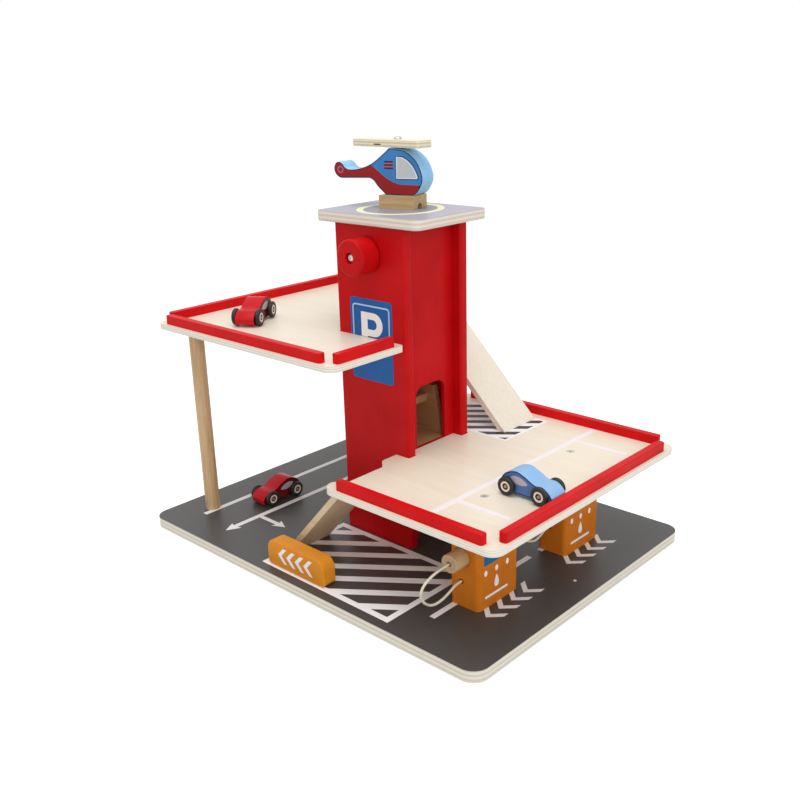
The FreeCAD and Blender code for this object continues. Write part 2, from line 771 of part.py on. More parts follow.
def lift_cabin():
    """The cabin: a floor between two slanted sides, and the bar that the cord holds."""
    half = "(tower_depth / 2 - side_panel - lift_side_play)"
    inner = "(tower_depth / 2 - side_panel - lift_side_play - lift_side)"
    floor_x = "(tower_length / 2 - door_setback - door_panel - lift_end_play)"
    floor_low = "(lower_level - lift_floor)"
    floor = new_body("lift_floor")
    sketch = rectangle(floor, "XY_Plane", floor_low, "-" + floor_x, floor_x, "-" + inner, inner)
    pad(floor, sketch, "lift_floor")

    for name, plane_at in (("front", inner), ("rear", "-" + half)):
        side = new_body("lift_side_" + name)
        corners = [
            ("-lift_foot_half", floor_low), ("lift_foot_half", floor_low),
            ("lift_top_half", floor_low + " + lift_height"),
            ("-lift_top_half", floor_low + " + lift_height"),
        ]
        pad(side, outline(side, "XZ_Plane", plane_at, corners), "lift_side")

    cord_x = "(crank_x + (axle_diameter + cord_diameter) / 2 + cord_gap)"
    bar_low = floor_low + " + lift_bar_low"
    bar = new_body("lift_cross_bar")
    sketch = rectangle(
        bar, "XY_Plane", bar_low,
        cord_x + " - lift_bar / 2", cord_x + " + lift_bar / 2", "-" + inner, inner,
    )
    pad(bar, sketch, "lift_bar_height")

    cord = new_body("lift_cord")
    bar_top = bar_low + " + lift_bar_height"
    ring = circles(cord, "XY_Plane", bar_top, [(cord_x, "0")], "cord_diameter")
    pad(cord, ring, "%s - (%s)" % (CRANK_Z, bar_top))


def helipad():
    """The board on top of the tower."""
    body = new_body("helipad_board")
    sketch = rectangle(
        body, "XY_Plane", "tower_top",
        "-helipad_length / 2", "helipad_length / 2", "-helipad_width / 2", "helipad_width / 2",
    )
    board = pad(body, sketch, "helipad_thickness")
    board = round_edges(body, board, corner_edges(board, sketch, range(4)), "helipad_corner")
    for level in (mm("tower_top"), mm("tower_top") + mm("helipad_thickness")):
        board = round_edges(body, board, level_edges(board, 2, level), "helipad_edge")


# The helicopter's side view, as shares of its length ahead of the skid's middle and of its
# height over the skid. Each list is one smooth curve, and straight lines join them.
HELICOPTER_CURVES = [
    [(-0.650, 0.342), (-0.713, 0.525), (-0.658, 0.679)],
    [(-0.568, 0.536), (-0.437, 0.548), (-0.284, 0.665), (-0.142, 0.887), (-0.081, 1.000)],
    [(0.069, 0.966), (0.178, 0.835), (0.251, 0.633), (0.287, 0.344), (0.231, 0.084), (0.156, 0.0)],
    [(-0.122, 0.0), (-0.213, 0.170), (-0.268, 0.310), (-0.325, 0.353)],
]


def helicopter():
    """The helicopter: a carved body glued on a grooved block, under a turning rotor."""
    pad_top = mm("tower_top") + mm("helipad_thickness")
    heading = Rotation(Vector(0, 0, 1), mm("helicopter_heading"))
    place = Placement(Vector(mm("helicopter_x"), mm("helicopter_y"), pad_top), heading)

    skid = new_body("helicopter_skid")
    sketch = rectangle(
        skid, "XY_Plane", "0",
        "-skid_length / 2", "skid_length / 2", "-skid_width / 2", "skid_width / 2",
    )
    pad(skid, sketch, "skid_height")
    arch = circles(
        skid, "YZ_Plane", "skid_length / 2",
        [("0", "skid_arch_height - skid_arch_radius")], "2 * skid_arch_radius",
    )
    cut(skid, arch, "skid_length")
    skid.Placement = place

    width = mm("helicopter_width")
    curves = []
    for shares in HELICOPTER_CURVES:
        curves.append([
            Vector(ahead * mm("helicopter_length"), -width / 2,
                   mm("skid_height") + above * mm("helicopter_height"))
            for ahead, above in shares
        ])
    edges = []
    for points, after in zip(curves, curves[1:] + curves[:1]):
        curve = Part.BSplineCurve()
        curve.interpolate(points)
        edges.append(curve.toShape())
        edges.append(Part.LineSegment(points[-1], after[0]).toShape())
    solid = Part.Face(Part.Wire(edges)).extrude(Vector(0, width, 0))
    mast = Vector(-mm("rotor_back"), 0, 0)
    roof = mm("skid_height") + mm("helicopter_height")
    pilot_depth = mm("rotor_screw_depth") + mm("pilot_extra")
    pilot_radius = mm("screw_shank") / 2 + mm("screw_play")
    pilot = Part.makeCylinder(pilot_radius, 2 * pilot_depth, mast + Vector(0, 0, roof - pilot_depth))
    keep_shape("helicopter_body", solid.cut(pilot), place)

    rotor = new_body("rotor")
    sketch = rectangle(
        rotor, "XY_Plane", "0",
        "-rotor_length / 2 - rotor_shift", "rotor_length / 2 - rotor_shift",
        "-rotor_width / 2", "rotor_width / 2",
    )
    blade = pad(rotor, sketch, "rotor_thickness")
    blade = round_edges(rotor, blade, corner_edges(blade, sketch, range(4)), "rotor_corner")
    for level in (0, mm("rotor_thickness")):
        blade = round_edges(rotor, blade, level_edges(blade, 2, level), "rotor_edge")
    hub = circles(rotor, "XY_Plane", "0", [("0", "0")], "screw_shank + 2 * axle_play")
    cut(rotor, hub, "rotor_thickness", along_normal=True)
    low = roof + mm("rotor_gap")
    turn = Rotation(Vector(0, 0, 1), mm("rotor_heading"))
    rotor.Placement = place * Placement(mast + Vector(0, 0, low), turn)

    seat = low + mm("rotor_thickness") + mm("pan_head_gap")
    length = seat - roof + mm("rotor_screw_depth")
    pan_screw("rotor_screw", place.multVec(mast + Vector(0, 0, seat)), heading, length)


def pushed_middle(first, last, bulge):
    """The point halfway between two others, pushed out to the left of the way."""
    run = last - first
    left = Vector(-run.z, 0, run.x).normalize()
    return (first + last) * 0.5 + left * bulge


def car_body(axle_height):
    """A car's side view drawn out to its width, with rounded edges and two axle holes."""
    width = mm("car_width")
    tail = mm("car_tail")
    nose = mm("car_nose")
    belly = mm("car_belly")
    inset = 1.2
    tail_bulge = 4.5
    roof_bulge = 1.0
    bonnet_bulge = 3.4

    def point(ahead, height):
        return Vector(ahead, -width / 2, height)

    tail_low = point(-tail + inset, belly)
    tail_high = point(-tail, mm("car_tail_height"))
    roof = point(-mm("car_roof_back"), mm("car_roof"))
    dip = point(mm("car_dip_front"), mm("car_dip"))
    nose_high = point(nose, mm("car_nose_height"))
    nose_low = point(nose - inset, belly)
    top = Part.BSplineCurve()
    top.interpolate([
        tail_high, pushed_middle(tail_high, roof, tail_bulge),
        roof, pushed_middle(roof, dip, roof_bulge),
        dip, pushed_middle(dip, nose_high, bonnet_bulge), nose_high,
    ])
    edges = [
        Part.LineSegment(tail_low, tail_high).toShape(),
        top.toShape(),
        Part.LineSegment(nose_high, nose_low).toShape(),
        Part.LineSegment(nose_low, tail_low).toShape(),
    ]
    solid = Part.Face(Part.Wire(edges)).extrude(Vector(0, width, 0))
    rims = []
    for edge in solid.Edges:
        ends = (edge.firstVertex().Point, edge.lastVertex().Point)
        if abs(ends[0].y - ends[1].y) < 1e-6:
            rims.append(edge)
    solid = solid.makeFillet(mm("car_edge"), rims)
    radius = mm("car_axle_diameter") / 2 + mm("car_axle_play")
    for side in (-1, 1):
        start = Vector(side * mm("car_wheelbase") / 2, -width, axle_height)
        solid = solid.cut(Part.makeCylinder(radius, 2 * width, start, Vector(0, 1, 0)))
    return solid


def wheelset(label, place):
    """Two pale hubs turned in one with their axle."""
    body = new_body(label)
    inner = "(car_width / 2 + wheel_gap)"
    outer = "(car_width / 2 + wheel_gap + wheel_width)"
    end = "(car_width / 2 + wheel_gap + wheel_width + hub_peg_out)"
    half = [
        ("hub_peg_diameter / 2", end), ("hub_peg_diameter / 2", outer),
        ("hub_diameter / 2", outer), ("hub_diameter / 2", inner),
        ("car_axle_diameter / 2", inner),
    ]
    other = [(radius, "-" + along) for radius, along in reversed(half)]
    sketch = outline(body, "XY_Plane", "0", [("0", end)] + half + other + [("0", "-" + end)])
    turned = body.newObject("PartDesign::Revolution", label + "_turned")
    turned.Profile = sketch
    turned.ReferenceAxis = (sketch, ["V_Axis"])
    turned.Angle = 360
    body.Placement = place
    document.recompute()


def tyres():
    """A pair of black tyres, as rings round the hubs."""
    rings = []
    inner_radius = mm("hub_diameter") / 2 + mm("tyre_play")
    outer_radius = mm("tyre_diameter") / 2
    wheel = mm("wheel_width")
    for start in (mm("car_width") / 2 + mm("wheel_gap"),
                  -mm("car_width") / 2 - mm("wheel_gap") - wheel):
        foot = Vector(0, start, 0)
        ring = Part.makeCylinder(outer_radius, wheel, foot, Vector(0, 1, 0))
        rims = [edge for edge in ring.Edges if edge.isClosed() and hasattr(edge.Curve, "Radius")]
        ring = ring.makeFillet(mm("tyre_round"), rims)
        rings.append(ring.cut(Part.makeCylinder(inner_radius, wheel, foot, Vector(0, 1, 0))))
    return Part.makeCompound(rings)


def car(name, x, y, level, heading):
    """A toy car that rolls on a surface."""
    axle_height = mm("tyre_diameter") / 2 + mm("roll_gap")
    place = Placement(Vector(x, y, level), Rotation(Vector(0, 0, 1), heading))
    keep_shape(name + "_body", car_body(axle_height), place)
    for end, ahead in (("front", 1), ("rear", -1)):
        middle = Vector(ahead * mm("car_wheelbase") / 2, 0, axle_height)
        wheel_place = place * Placement(middle, Rotation())
        wheelset("%s_%s_wheels" % (name, end), wheel_place)
        keep_shape("%s_%s_tyres" % (name, end), tyres(), wheel_place)


def cars():
    """The blue car on the lower deck, a red one in the yard and a red one on the upper deck."""
    rail_face = mm("lower_reach") - mm("rail_inset") - mm("rail_width")
    blue_x = rail_face - mm("blue_car_gap") - mm("car_nose")
    car("blue_car", blue_x, mm("blue_car_y"), mm("lower_level"), 0)
    car("yard_car", mm("yard_car_x"), mm("yard_car_y"), mm("base_thickness"), -90)
    upper_x = -(mm("upper_reach") - mm("upper_car_end_inset"))
    upper_y = -(mm("upper_width") / 2 - mm("upper_car_side_inset"))
    car("upper_car", upper_x, upper_y, mm("upper_level"), mm("upper_car_heading"))


base_board()
side_panel("tower_front_panel", "-", "side_panel")
side_panel("tower_rear_panel", "", "axle_blind")
door_panel("tower_right_door_panel", "", ("base_thickness", "lower_level"))
door_panel("tower_left_door_panel", "-", ("base_thickness", "upper_level"))
helipad()
deck("lower", "", "lower_level", "lower_reach", "lower_width", "lower_tongue_start",
     LOWER_DECK_SCREWS)
rails("lower", "", "lower_level", "lower_reach", "lower_width")
deck("upper", "-", "upper_level", "upper_reach", "upper_width", "upper_tongue_start",
     UPPER_DECK_SCREWS)
rails("upper", "-", "upper_level", "upper_reach", "upper_width")
for post_name, post_place in POSTS.items():
    post(post_name, post_place)
ramp("lower_ramp", "", "lower_level", "base_thickness", "lower_ramp_run")
ramp("upper_ramp", "-", "upper_level", "lower_level", "upper_ramp_run")
barrier_block()
for pump_name, pump_middle in PUMPS.items():
    fuel_pump(pump_name, pump_middle)
    nozzle(pump_name, pump_middle)
hoses()
winding_gear()
lift_cabin()
helicopter()
cars()
wood_screws("base_screws", BASE_SCREWS, "0", True, "base_screw_length")
wood_screws("lower_deck_screws", LOWER_DECK_SCREWS, "lower_level", False, "deck_screw_length")
wood_screws("upper_deck_screws", UPPER_DECK_SCREWS, "upper_level", False, "deck_screw_length")
document.recompute()

for found in document.Objects:
    if "Invalid" in found.State or "Error" in found.State:
        raise RuntimeError("%s could not be built: %s" % (found.Label, found.State))
for piece in pieces:
    if piece.Shape.isNull() or not piece.Shape.isValid() or not piece.Shape.Solids:
        raise RuntimeError("%s is not a sound solid" % piece.Label)

os.makedirs("parts", exist_ok=True)
for piece in pieces:
    piece.Shape.exportStep("parts/%s.step" % piece.Label)
    box = piece.Shape.BoundBox
    print("%-24s x %7.1f %7.1f  y %7.1f %7.1f  z %6.1f %6.1f  solids %d" % (
        piece.Label, box.XMin, box.XMax, box.YMin, box.YMax, box.ZMin, box.ZMax,
        len(piece.Shape.Solids)))
print(len(pieces), "pieces")
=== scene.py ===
# %% [markdown]
# # A wooden parking garage with a lift
# This lesson dresses the measured model of a wooden play garage. The model comes in as a
# fixed frame. Each cell then adds one piece or one finish and says why it is made that way.

# %% Load the frame
import bmesh
import bpy
import fnmatch
import math
from mathutils import Matrix, Vector


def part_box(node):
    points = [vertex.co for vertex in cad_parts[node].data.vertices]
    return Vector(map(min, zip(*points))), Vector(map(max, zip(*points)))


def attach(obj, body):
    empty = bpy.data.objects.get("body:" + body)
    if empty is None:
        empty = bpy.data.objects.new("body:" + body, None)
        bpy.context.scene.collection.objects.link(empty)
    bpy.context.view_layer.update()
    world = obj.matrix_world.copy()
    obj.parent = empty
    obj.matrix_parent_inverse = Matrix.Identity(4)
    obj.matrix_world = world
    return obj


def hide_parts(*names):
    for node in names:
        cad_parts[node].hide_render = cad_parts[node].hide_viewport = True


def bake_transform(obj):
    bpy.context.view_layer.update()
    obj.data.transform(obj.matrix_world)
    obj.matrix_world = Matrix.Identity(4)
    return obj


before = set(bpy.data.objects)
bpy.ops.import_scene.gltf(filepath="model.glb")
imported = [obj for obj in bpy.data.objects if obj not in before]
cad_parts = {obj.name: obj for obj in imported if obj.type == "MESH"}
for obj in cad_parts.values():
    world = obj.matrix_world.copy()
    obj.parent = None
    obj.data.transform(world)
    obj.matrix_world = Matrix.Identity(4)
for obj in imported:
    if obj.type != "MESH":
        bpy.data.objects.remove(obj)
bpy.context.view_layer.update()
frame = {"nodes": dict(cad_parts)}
nodes = frame["nodes"]
MM = 0.001

# %% [markdown]
# The camera stands where the photographer stood. Its place and turn were solved from the
# edges of the boards, so the rows below are its right, up and backward directions.

# %% Camera


def in_scene(name, data):
    """A new object in the scene."""
    thing = bpy.data.objects.new(name, data)
    bpy.context.scene.collection.objects.link(thing)
    return thing


right_way = (0.7305649, 0.6823036, -0.0271424)
up_way = (-0.2020802, 0.2540007, 0.9458579)
back_way = (0.6522565, -0.6855257, 0.3234440)
camera_place = (0.634555, -0.675255, 0.466610)
camera_data = bpy.data.cameras.new("camera")
camera_data.sensor_width = 36
camera_data.lens = 42.592
camera = in_scene("camera", camera_data)
turn = Matrix((right_way, up_way, back_way)).transposed().to_4x4()
camera.matrix_world = Matrix.Translation(camera_place) @ turn
bpy.context.scene.camera = camera
print("camera lens", camera_data.lens)

# %% [markdown]
# Small helpers come next. A colour is written as it looks on a screen, from 0 to 255, and
# Blender wants it linear. A place is a matrix that lays a flat drawing on a face.

# %% Helpers for colours and places


def screen_colour(red, green, blue):
    """A colour as Blender's linear numbers."""
    linear = []
    for value in (red, green, blue):
        share = value / 255
        linear.append(share / 12.92 if share <= 0.04045 else ((share + 0.055) / 1.055) ** 2.4)
    return (*linear, 1.0)


def metres(point):
    """Millimetres as metres."""
    return [value * MM for value in point]


def laid(across, up, origin):
    """The place of a drawing whose two directions lie in the room, with its origin in mm."""
    across, up = Vector(across), Vector(up)
    out = across.cross(up)
    rows = [(across[i], up[i], out[i], origin[i] * MM) for i in range(3)]
    return Matrix(rows + [(0, 0, 0, 1)])


def turn_about(axis, degrees):
    """A turn round an axis of the room."""
    return Matrix.Rotation(math.radians(degrees), 4, axis)


def on_top(level):
    """The place of a drawing on a level surface."""
    return laid((1, 0, 0), (0, 1, 0), (0, 0, level))


def on_front(depth):
    """The place of a drawing on a face that looks towards -Y."""
    return laid((1, 0, 0), (0, 0, 1), (0, depth, 0))


print("white is", screen_colour(255, 255, 255))

# %% Helpers for pieces


def piece_of(name, mesh, materials, body, stands_for=None):
    """Put a finished mesh in the scene as one piece that rides on a body."""
    mesh.name = name
    numbers = [face.material_index for face in mesh.polygons]
    mesh.materials.clear()
    for material in materials:
        mesh.materials.append(material)
    for face, number in zip(mesh.polygons, numbers):
        face.material_index = min(number, len(materials) - 1)
    piece = in_scene(name, mesh)
    if body:
        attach(piece, body)
    if stands_for:
        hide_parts(stands_for)
    print(name, len(mesh.polygons), "faces")
    return piece


DOUBLE_GAP = 1e-6


def welded(mesh):
    """Merge the doubles of a mesh and turn its faces outwards."""
    work = bmesh.new()
    work.from_mesh(mesh)
    bmesh.ops.remove_doubles(work, verts=work.verts, dist=DOUBLE_GAP)
    bmesh.ops.recalc_face_normals(work, faces=work.faces)
    work.to_mesh(mesh)
    work.free()
    return mesh


def smooth(mesh, degrees):
    """Shade a mesh smooth, but for its sharp edges."""
    mesh.shade_smooth()
    mesh.set_sharp_from_angle(angle=math.radians(degrees))
    return mesh


def plain_mesh(thing):
    """The mesh of an object once its modifiers are applied. The object is removed."""
    depsgraph = bpy.context.evaluated_depsgraph_get()
    made = bpy.data.meshes.new_from_object(thing.evaluated_get(depsgraph))
    bpy.data.objects.remove(thing)
    return made


def mesh_from(data, kind=None, **values):
    """The plain mesh of a curve or a mesh, after one modifier where a kind is given."""
    thing = in_scene("holder", data)
    if kind:
        modifier = thing.modifiers.new(kind, kind)
        for word, value in values.items():
            setattr(modifier, word, value)
    return plain_mesh(thing)


def curve_of(lines, kind="POLY", flat=False):
    """A curve with one spline for each line of points in mm. A flat curve's are closed."""
    curve = bpy.data.curves.new("curve", "CURVE")
    curve.dimensions = "2D" if flat else "3D"
    for points in lines:
        spline = curve.splines.new(kind)
        spline.points.add(len(points) - 1)
        for control, point in zip(spline.points, points):
            control.co = (*metres(point), 0, 1) if flat else (*metres(point), 1)
        spline.use_cyclic_u = flat
    return curve


def flat_mesh(outlines, low, high):
    """Closed outlines, filled and drawn out between two heights. An inner one is a hole."""
    curve = curve_of(outlines, flat=True)
    curve.fill_mode = "BOTH"
    curve.extrude = (high - low) / 2 * MM
    mesh = mesh_from(curve)
    mesh.transform(Matrix.Translation((0, 0, (high + low) / 2 * MM)))
    return welded(mesh)


INK_LOW = -0.05
INK_HIGH = 0.10
inks = {}


def lay_on(face, name, mesh, colour):
    """Lay a printed figure on a face: a place on a board, and that board's body and slot. The slot
    is not used.
    """
    place, body, slot = face
    mesh.transform(place)
    piece_of(name, mesh, [inks[colour]], body)


def ink(name, outlines, face, colour, high=INK_HIGH):
    """A printed figure: a film of ink that is a tenth of a millimetre high."""
    lay_on(face, name, flat_mesh(outlines, INK_LOW, high), colour)


def box_outline(low_x, high_x, low_y, high_y):
    """A rectangle's outline."""
    return [(low_x, low_y), (high_x, low_y), (high_x, high_y), (low_x, high_y)]


def polar(x, y, radius, degrees):
    """A point on a circle."""
    angle = math.radians(degrees)
    return (x + radius * math.cos(angle), y + radius * math.sin(angle))


def round_outline(low_x, high_x, low_y, high_y, radius):
    """A rectangle's outline with round corners."""
    left, right, low, high = low_x + radius, high_x - radius, low_y + radius, high_y - radius
    middles = ((right, high), (left, high), (left, low), (right, low))
    return [polar(*middle, radius, 90 * (corner + step / 8))
            for corner, middle in enumerate(middles) for step in range(9)]


def circle_outline(x, y, radius, steps=48):
    """A circle's outline."""
    turns = [2 * math.pi * step / steps for step in range(steps)]
    return [(x + radius * math.cos(turn), y + radius * math.sin(turn)) for turn in turns]


print("helpers are ready")

# %% [markdown]
# Materials share a few effects, so each effect is a node group that is built once. The
# first is wood grain. Noise that is stretched along the board gives its streaks, and finer
# noise gives its pores. The group puts out a colour and a height, and the shader stays in
# each material.

# %% Node helpers and the wood grain group


def wire(tree, made, inputs):
    """Set a node's inputs to values, or link the sockets that feed them."""
    for socket, value in inputs.items():
        if isinstance(value, bpy.types.NodeSocket):
            tree.links.new(value, made.inputs[socket])
        else:
            made.inputs[socket].default_value = value


def node(tree, kind, inputs=None, **properties):
    """Add a node, set its properties, and wire its inputs by number or name. A kind like
    Math belongs to the tree's own family, as ShaderNodeMath does to a shader's."""
    family = "" if "Node" in kind else tree.bl_idname.removesuffix("Tree")
    made = tree.nodes.new(family + kind)
    for word, value in properties.items():
        setattr(made, word, value)
    wire(tree, made, inputs or {})
    return made


def group_of(name, inputs, outputs, family="Shader"):
    """An empty node group: its tree, what it is asked and what it gives."""
    tree = bpy.data.node_groups.new(name, family + "NodeTree")
    for way, sockets in (("INPUT", inputs), ("OUTPUT", outputs)):
        for label, kind in sockets.items():
            tree.interface.new_socket(label, in_out=way, socket_type="NodeSocket" + kind)
    return tree, node(tree, "NodeGroupInput").outputs, node(tree, "NodeGroupOutput").inputs


def put_out(tree, given, *sources):
    """Link what a group gives."""
    for number, source in enumerate(sources):
        tree.links.new(source, given[number])
    print("group:", tree.name, len(tree.nodes), "nodes")


def calc(tree, operation, *values):
    """The result of a Math node. Each value is a number or a socket."""
    return node(tree, "Math", dict(enumerate(values)), operation=operation).outputs[0]


def mix_colour(tree, share, first, second):
    """The result of a Mix node for colours."""
    inputs = {0: share, 6: first, 7: second}
    return node(tree, "Mix", inputs, data_type="RGBA").outputs[2]


def noise(tree, place, scale, detail, roughness=0.5, distortion=0.0):
    """The value of a Noise texture."""
    inputs = {0: place, 2: scale, 3: detail, 4: roughness, 8: distortion}
    return node(tree, "TexNoise", inputs).outputs[0]


grain, asked, given = group_of(
    "wood grain",
    {"Vector": "Vector", "Pale": "Color", "Dark": "Color", "Contrast": "Float"},
    {"Color": "Color", "Height": "Float"})
streaks = noise(grain, asked["Vector"], 1.0, 3.0, 0.6, 0.8)
pores = noise(grain, asked["Vector"], 4.2, 2.0, 0.6)
figure = calc(grain, "MULTIPLY_ADD", pores, 0.35, streaks)
centred = calc(grain, "SUBTRACT", figure, 0.675)
spread = calc(grain, "MULTIPLY_ADD", centred, asked["Contrast"], 0.5)
share = node(grain, "Clamp", {0: spread}).outputs[0]
put_out(grain, given, mix_colour(grain, share, asked["Dark"], asked["Pale"]), figure)

# %% [markdown]
# A cut edge of plywood shows its veneers as thin lines, light where the grain runs along
# the edge and darker where it is cut across. The group counts layers by height above the
# board's underside, and a mask says where the surface is an edge and not a face.


# %% Plywood edge group


def own_place(tree):
    """The Object coordinates of the piece that wears a finish."""
    return node(tree, "TexCoord").outputs["Object"]


ply, asked, given = group_of(
    "plywood edge", {"Low": "Float", "Layer": "Float", "Pale": "Color", "Dark": "Color"},
    {"Color": "Color", "Edge": "Float", "Height": "Float"})
place = own_place(ply)
height = node(ply, "SeparateXYZ", {0: place}).outputs[2]
above = calc(ply, "SUBTRACT", height, asked["Low"])
counted = calc(ply, "SUBTRACT", calc(ply, "DIVIDE", above, asked["Layer"]), 0.08)
wobbling = calc(ply, "MULTIPLY_ADD", noise(ply, place, 28.0, 2.0), 0.16, counted)
swing = calc(ply, "PINGPONG", wobbling, 1.0)
sharp = node(ply, "MapRange", {0: swing, 1: 0.38, 2: 0.62}).outputs[0]
stretch = node(ply, "Mapping", {0: place, 3: (300.0, 300.0, 2200.0)}).outputs[0]
fibres = noise(ply, stretch, 1.0, 2.0)
toned = calc(ply, "MULTIPLY_ADD", calc(ply, "SUBTRACT", fibres, 0.5), 0.7, sharp)
toned = node(ply, "Clamp", {0: toned}).outputs[0]
normal = node(ply, "NewGeometry").outputs["Normal"]
facing_up = node(ply, "SeparateXYZ", {0: normal}).outputs[2]
put_out(ply, given, mix_colour(ply, toned, asked["Pale"], asked["Dark"]),
        calc(ply, "LESS_THAN", calc(ply, "ABSOLUTE", facing_up), 0.5),
        calc(ply, "MULTIPLY_ADD", fibres, 0.4, sharp))

# %% [markdown]
# Toy lacquer isn't one flat colour. It is a little deeper where it pooled, the grain of the
# board shows faintly through it, and its gloss changes from place to place. The group gives
# a colour, a roughness and a height for that.

# %% Lacquer group
lacquer, asked, given = group_of(
    "lacquer", {"Vector": "Vector", "Colour": "Color", "Deep": "Color", "Gloss": "Float"},
    {"Color": "Color", "Roughness": "Float", "Height": "Float"})
pooled = noise(lacquer, asked["Vector"], 22.0, 3.0, 0.55)
fine = node(lacquer, "Mapping", {0: asked["Vector"], 3: (520.0, 520.0, 30.0)})
telegraph = noise(lacquer, fine.outputs[0], 1.0, 2.0)
peel = noise(lacquer, asked["Vector"], 900.0, 1.0)
pools = node(lacquer, "MapRange", {0: pooled, 1: 0.35, 2: 0.7, 3: 0.0, 4: 0.45})
share = calc(lacquer, "SUBTRACT", telegraph, 0.5)
share = calc(lacquer, "MULTIPLY_ADD", share, 0.5, pools.outputs[0])
share = node(lacquer, "Clamp", {0: share}).outputs[0]
put_out(lacquer, given, mix_colour(lacquer, share, asked["Colour"], asked["Deep"]),
        calc(lacquer, "MULTIPLY_ADD", pooled, 0.12, asked["Gloss"]),
        calc(lacquer, "MULTIPLY_ADD", telegraph, 0.6, peel))

# %% [markdown]
# Real edges are never knife sharp. A Bevel node rounds what the light sees of them without
# a change to the measured mesh. It sits in a group, because every wooden finish uses it.

# %% Soft edge group
soft, asked, given = group_of("soft edge", {"Radius": "Float"}, {"Normal": "Vector"})
bevel = node(soft, "Bevel", {0: asked["Radius"]}, samples=4)
put_out(soft, given, bevel.outputs[0])

# %% [markdown]
# A recipe makes one kind of finish from the groups. Its depths and radii are in mm.

# %% Recipes for finishes
SHADER = "Principled BSDF"
PLY_LAYERS = 5
BIRCH_EDGE = ((240, 236, 224), (226, 219, 202))


def new_finish(name, roughness=0.5, coat=0.0, specular=0.5):
    """A material with its Principled shader and constants on its own sockets."""
    material = bpy.data.materials.new(name)
    material.use_nodes = True
    tree = material.node_tree
    wire(tree, tree.nodes[SHADER], {"Roughness": roughness, "Coat Weight": coat,
                                    "Coat Roughness": 0.25, "Specular IOR Level": specular})
    return material, tree


def use_group(tree, group, **inputs):
    """Place a node group in a material, wire its inputs and give its outputs."""
    return node(tree, "Group", inputs, node_tree=group).outputs


def surface(tree, colour, height, depth, radius=None, **more):
    """Wire a shader's colour and its relief, over soft edges where a radius is given."""
    inputs = {"Height": height, "Strength": 1.0, "Distance": depth * MM}
    if radius:
        inputs["Normal"] = use_group(tree, soft, Radius=radius * MM)[0]
    normal = node(tree, "Bump", inputs).outputs[0]
    wire(tree, tree.nodes[SHADER], {"Base Color": colour, "Normal": normal, **more})


def filmed(tree, colour, deep, gloss):
    """The lacquer group with its colours."""
    return use_group(tree, lacquer, Vector=own_place(tree), Colour=screen_colour(*colour),
                     Deep=screen_colour(*deep), Gloss=gloss)


def grained(tree, pale, dark, scale, contrast, degrees):
    """The wood grain group, turned and stretched so that it runs along the wood."""
    turned = node(tree, "Mapping",
                  {0: own_place(tree), 2: (0, 0, math.radians(degrees))}).outputs[0]
    along = node(tree, "Mapping", {0: turned, 3: scale}).outputs[0]
    return use_group(tree, grain, Vector=along, Pale=screen_colour(*pale),
                     Dark=screen_colour(*dark), Contrast=contrast)


def painted(name, colour, deep, gloss=0.36, coat=0.03, radius=0.6):
    """Lacquer on wood."""
    material, tree = new_finish(name, gloss, coat, 0.08)
    paint = filmed(tree, colour, deep, gloss)
    surface(tree, paint[0], paint[2], 0.03, radius, Roughness=paint[1])
    return material


def printed(name, colour, deep, roughness=0.45):
    """Printing ink: thin, slightly mottled, and it follows the board's grain."""
    material, tree = new_finish(name, roughness, 0.0, 0.25)
    film = filmed(tree, colour, deep, roughness)
    surface(tree, film[0], film[2], 0.01)
    return material


def solid_wood(name, pale, dark, scale, contrast=1.6, roughness=0.5, degrees=0):
    """Planed wood under a matt lacquer."""
    material, tree = new_finish(name, roughness, 0.08)
    wood = grained(tree, pale, dark, scale, contrast, degrees)
    surface(tree, wood[0], wood[1], 0.05, 0.6)
    return material


def plywood(name, low, thickness, pale, dark, scale, contrast, edge=BIRCH_EDGE,
            roughness=0.42, degrees=0):
    """A board: grain or print on its faces, veneers on its edges."""
    material, tree = new_finish(name, roughness, 0.05)
    wood = grained(tree, pale, dark, scale, contrast, degrees)
    veneers = use_group(tree, ply, Low=low * MM, Layer=thickness / PLY_LAYERS * MM,
                        Pale=screen_colour(*edge[0]), Dark=screen_colour(*edge[1]))
    tall = calc(tree, "MULTIPLY", veneers[1], veneers[2])
    surface(tree, mix_colour(tree, veneers[1], wood[0], veneers[0]),
            calc(tree, "MULTIPLY_ADD", wood[1], 0.5, tall), 0.06, 0.5)
    return material


print("recipes are ready")

# %% [markdown]
# The finishes themselves: red lacquer on the tower and the rails, orange on the pumps and
# the barrier, birch plywood on the decks, beech on ramps and posts, and ink for every mark.

# %% Finishes
ALONG_X = (16.0, 300.0, 300.0)
ALONG_Y = (300.0, 16.0, 300.0)
ALONG_Z = (300.0, 300.0, 14.0)
PANEL_X = (5.0, 60.0, 60.0)


def mix_inks(rows, roughness=0.45):
    """Inks of one roughness, from a name, a colour and a deeper tone each."""
    for name, (colour, deep) in rows.items():
        inks[name] = printed(name, colour, deep, roughness)


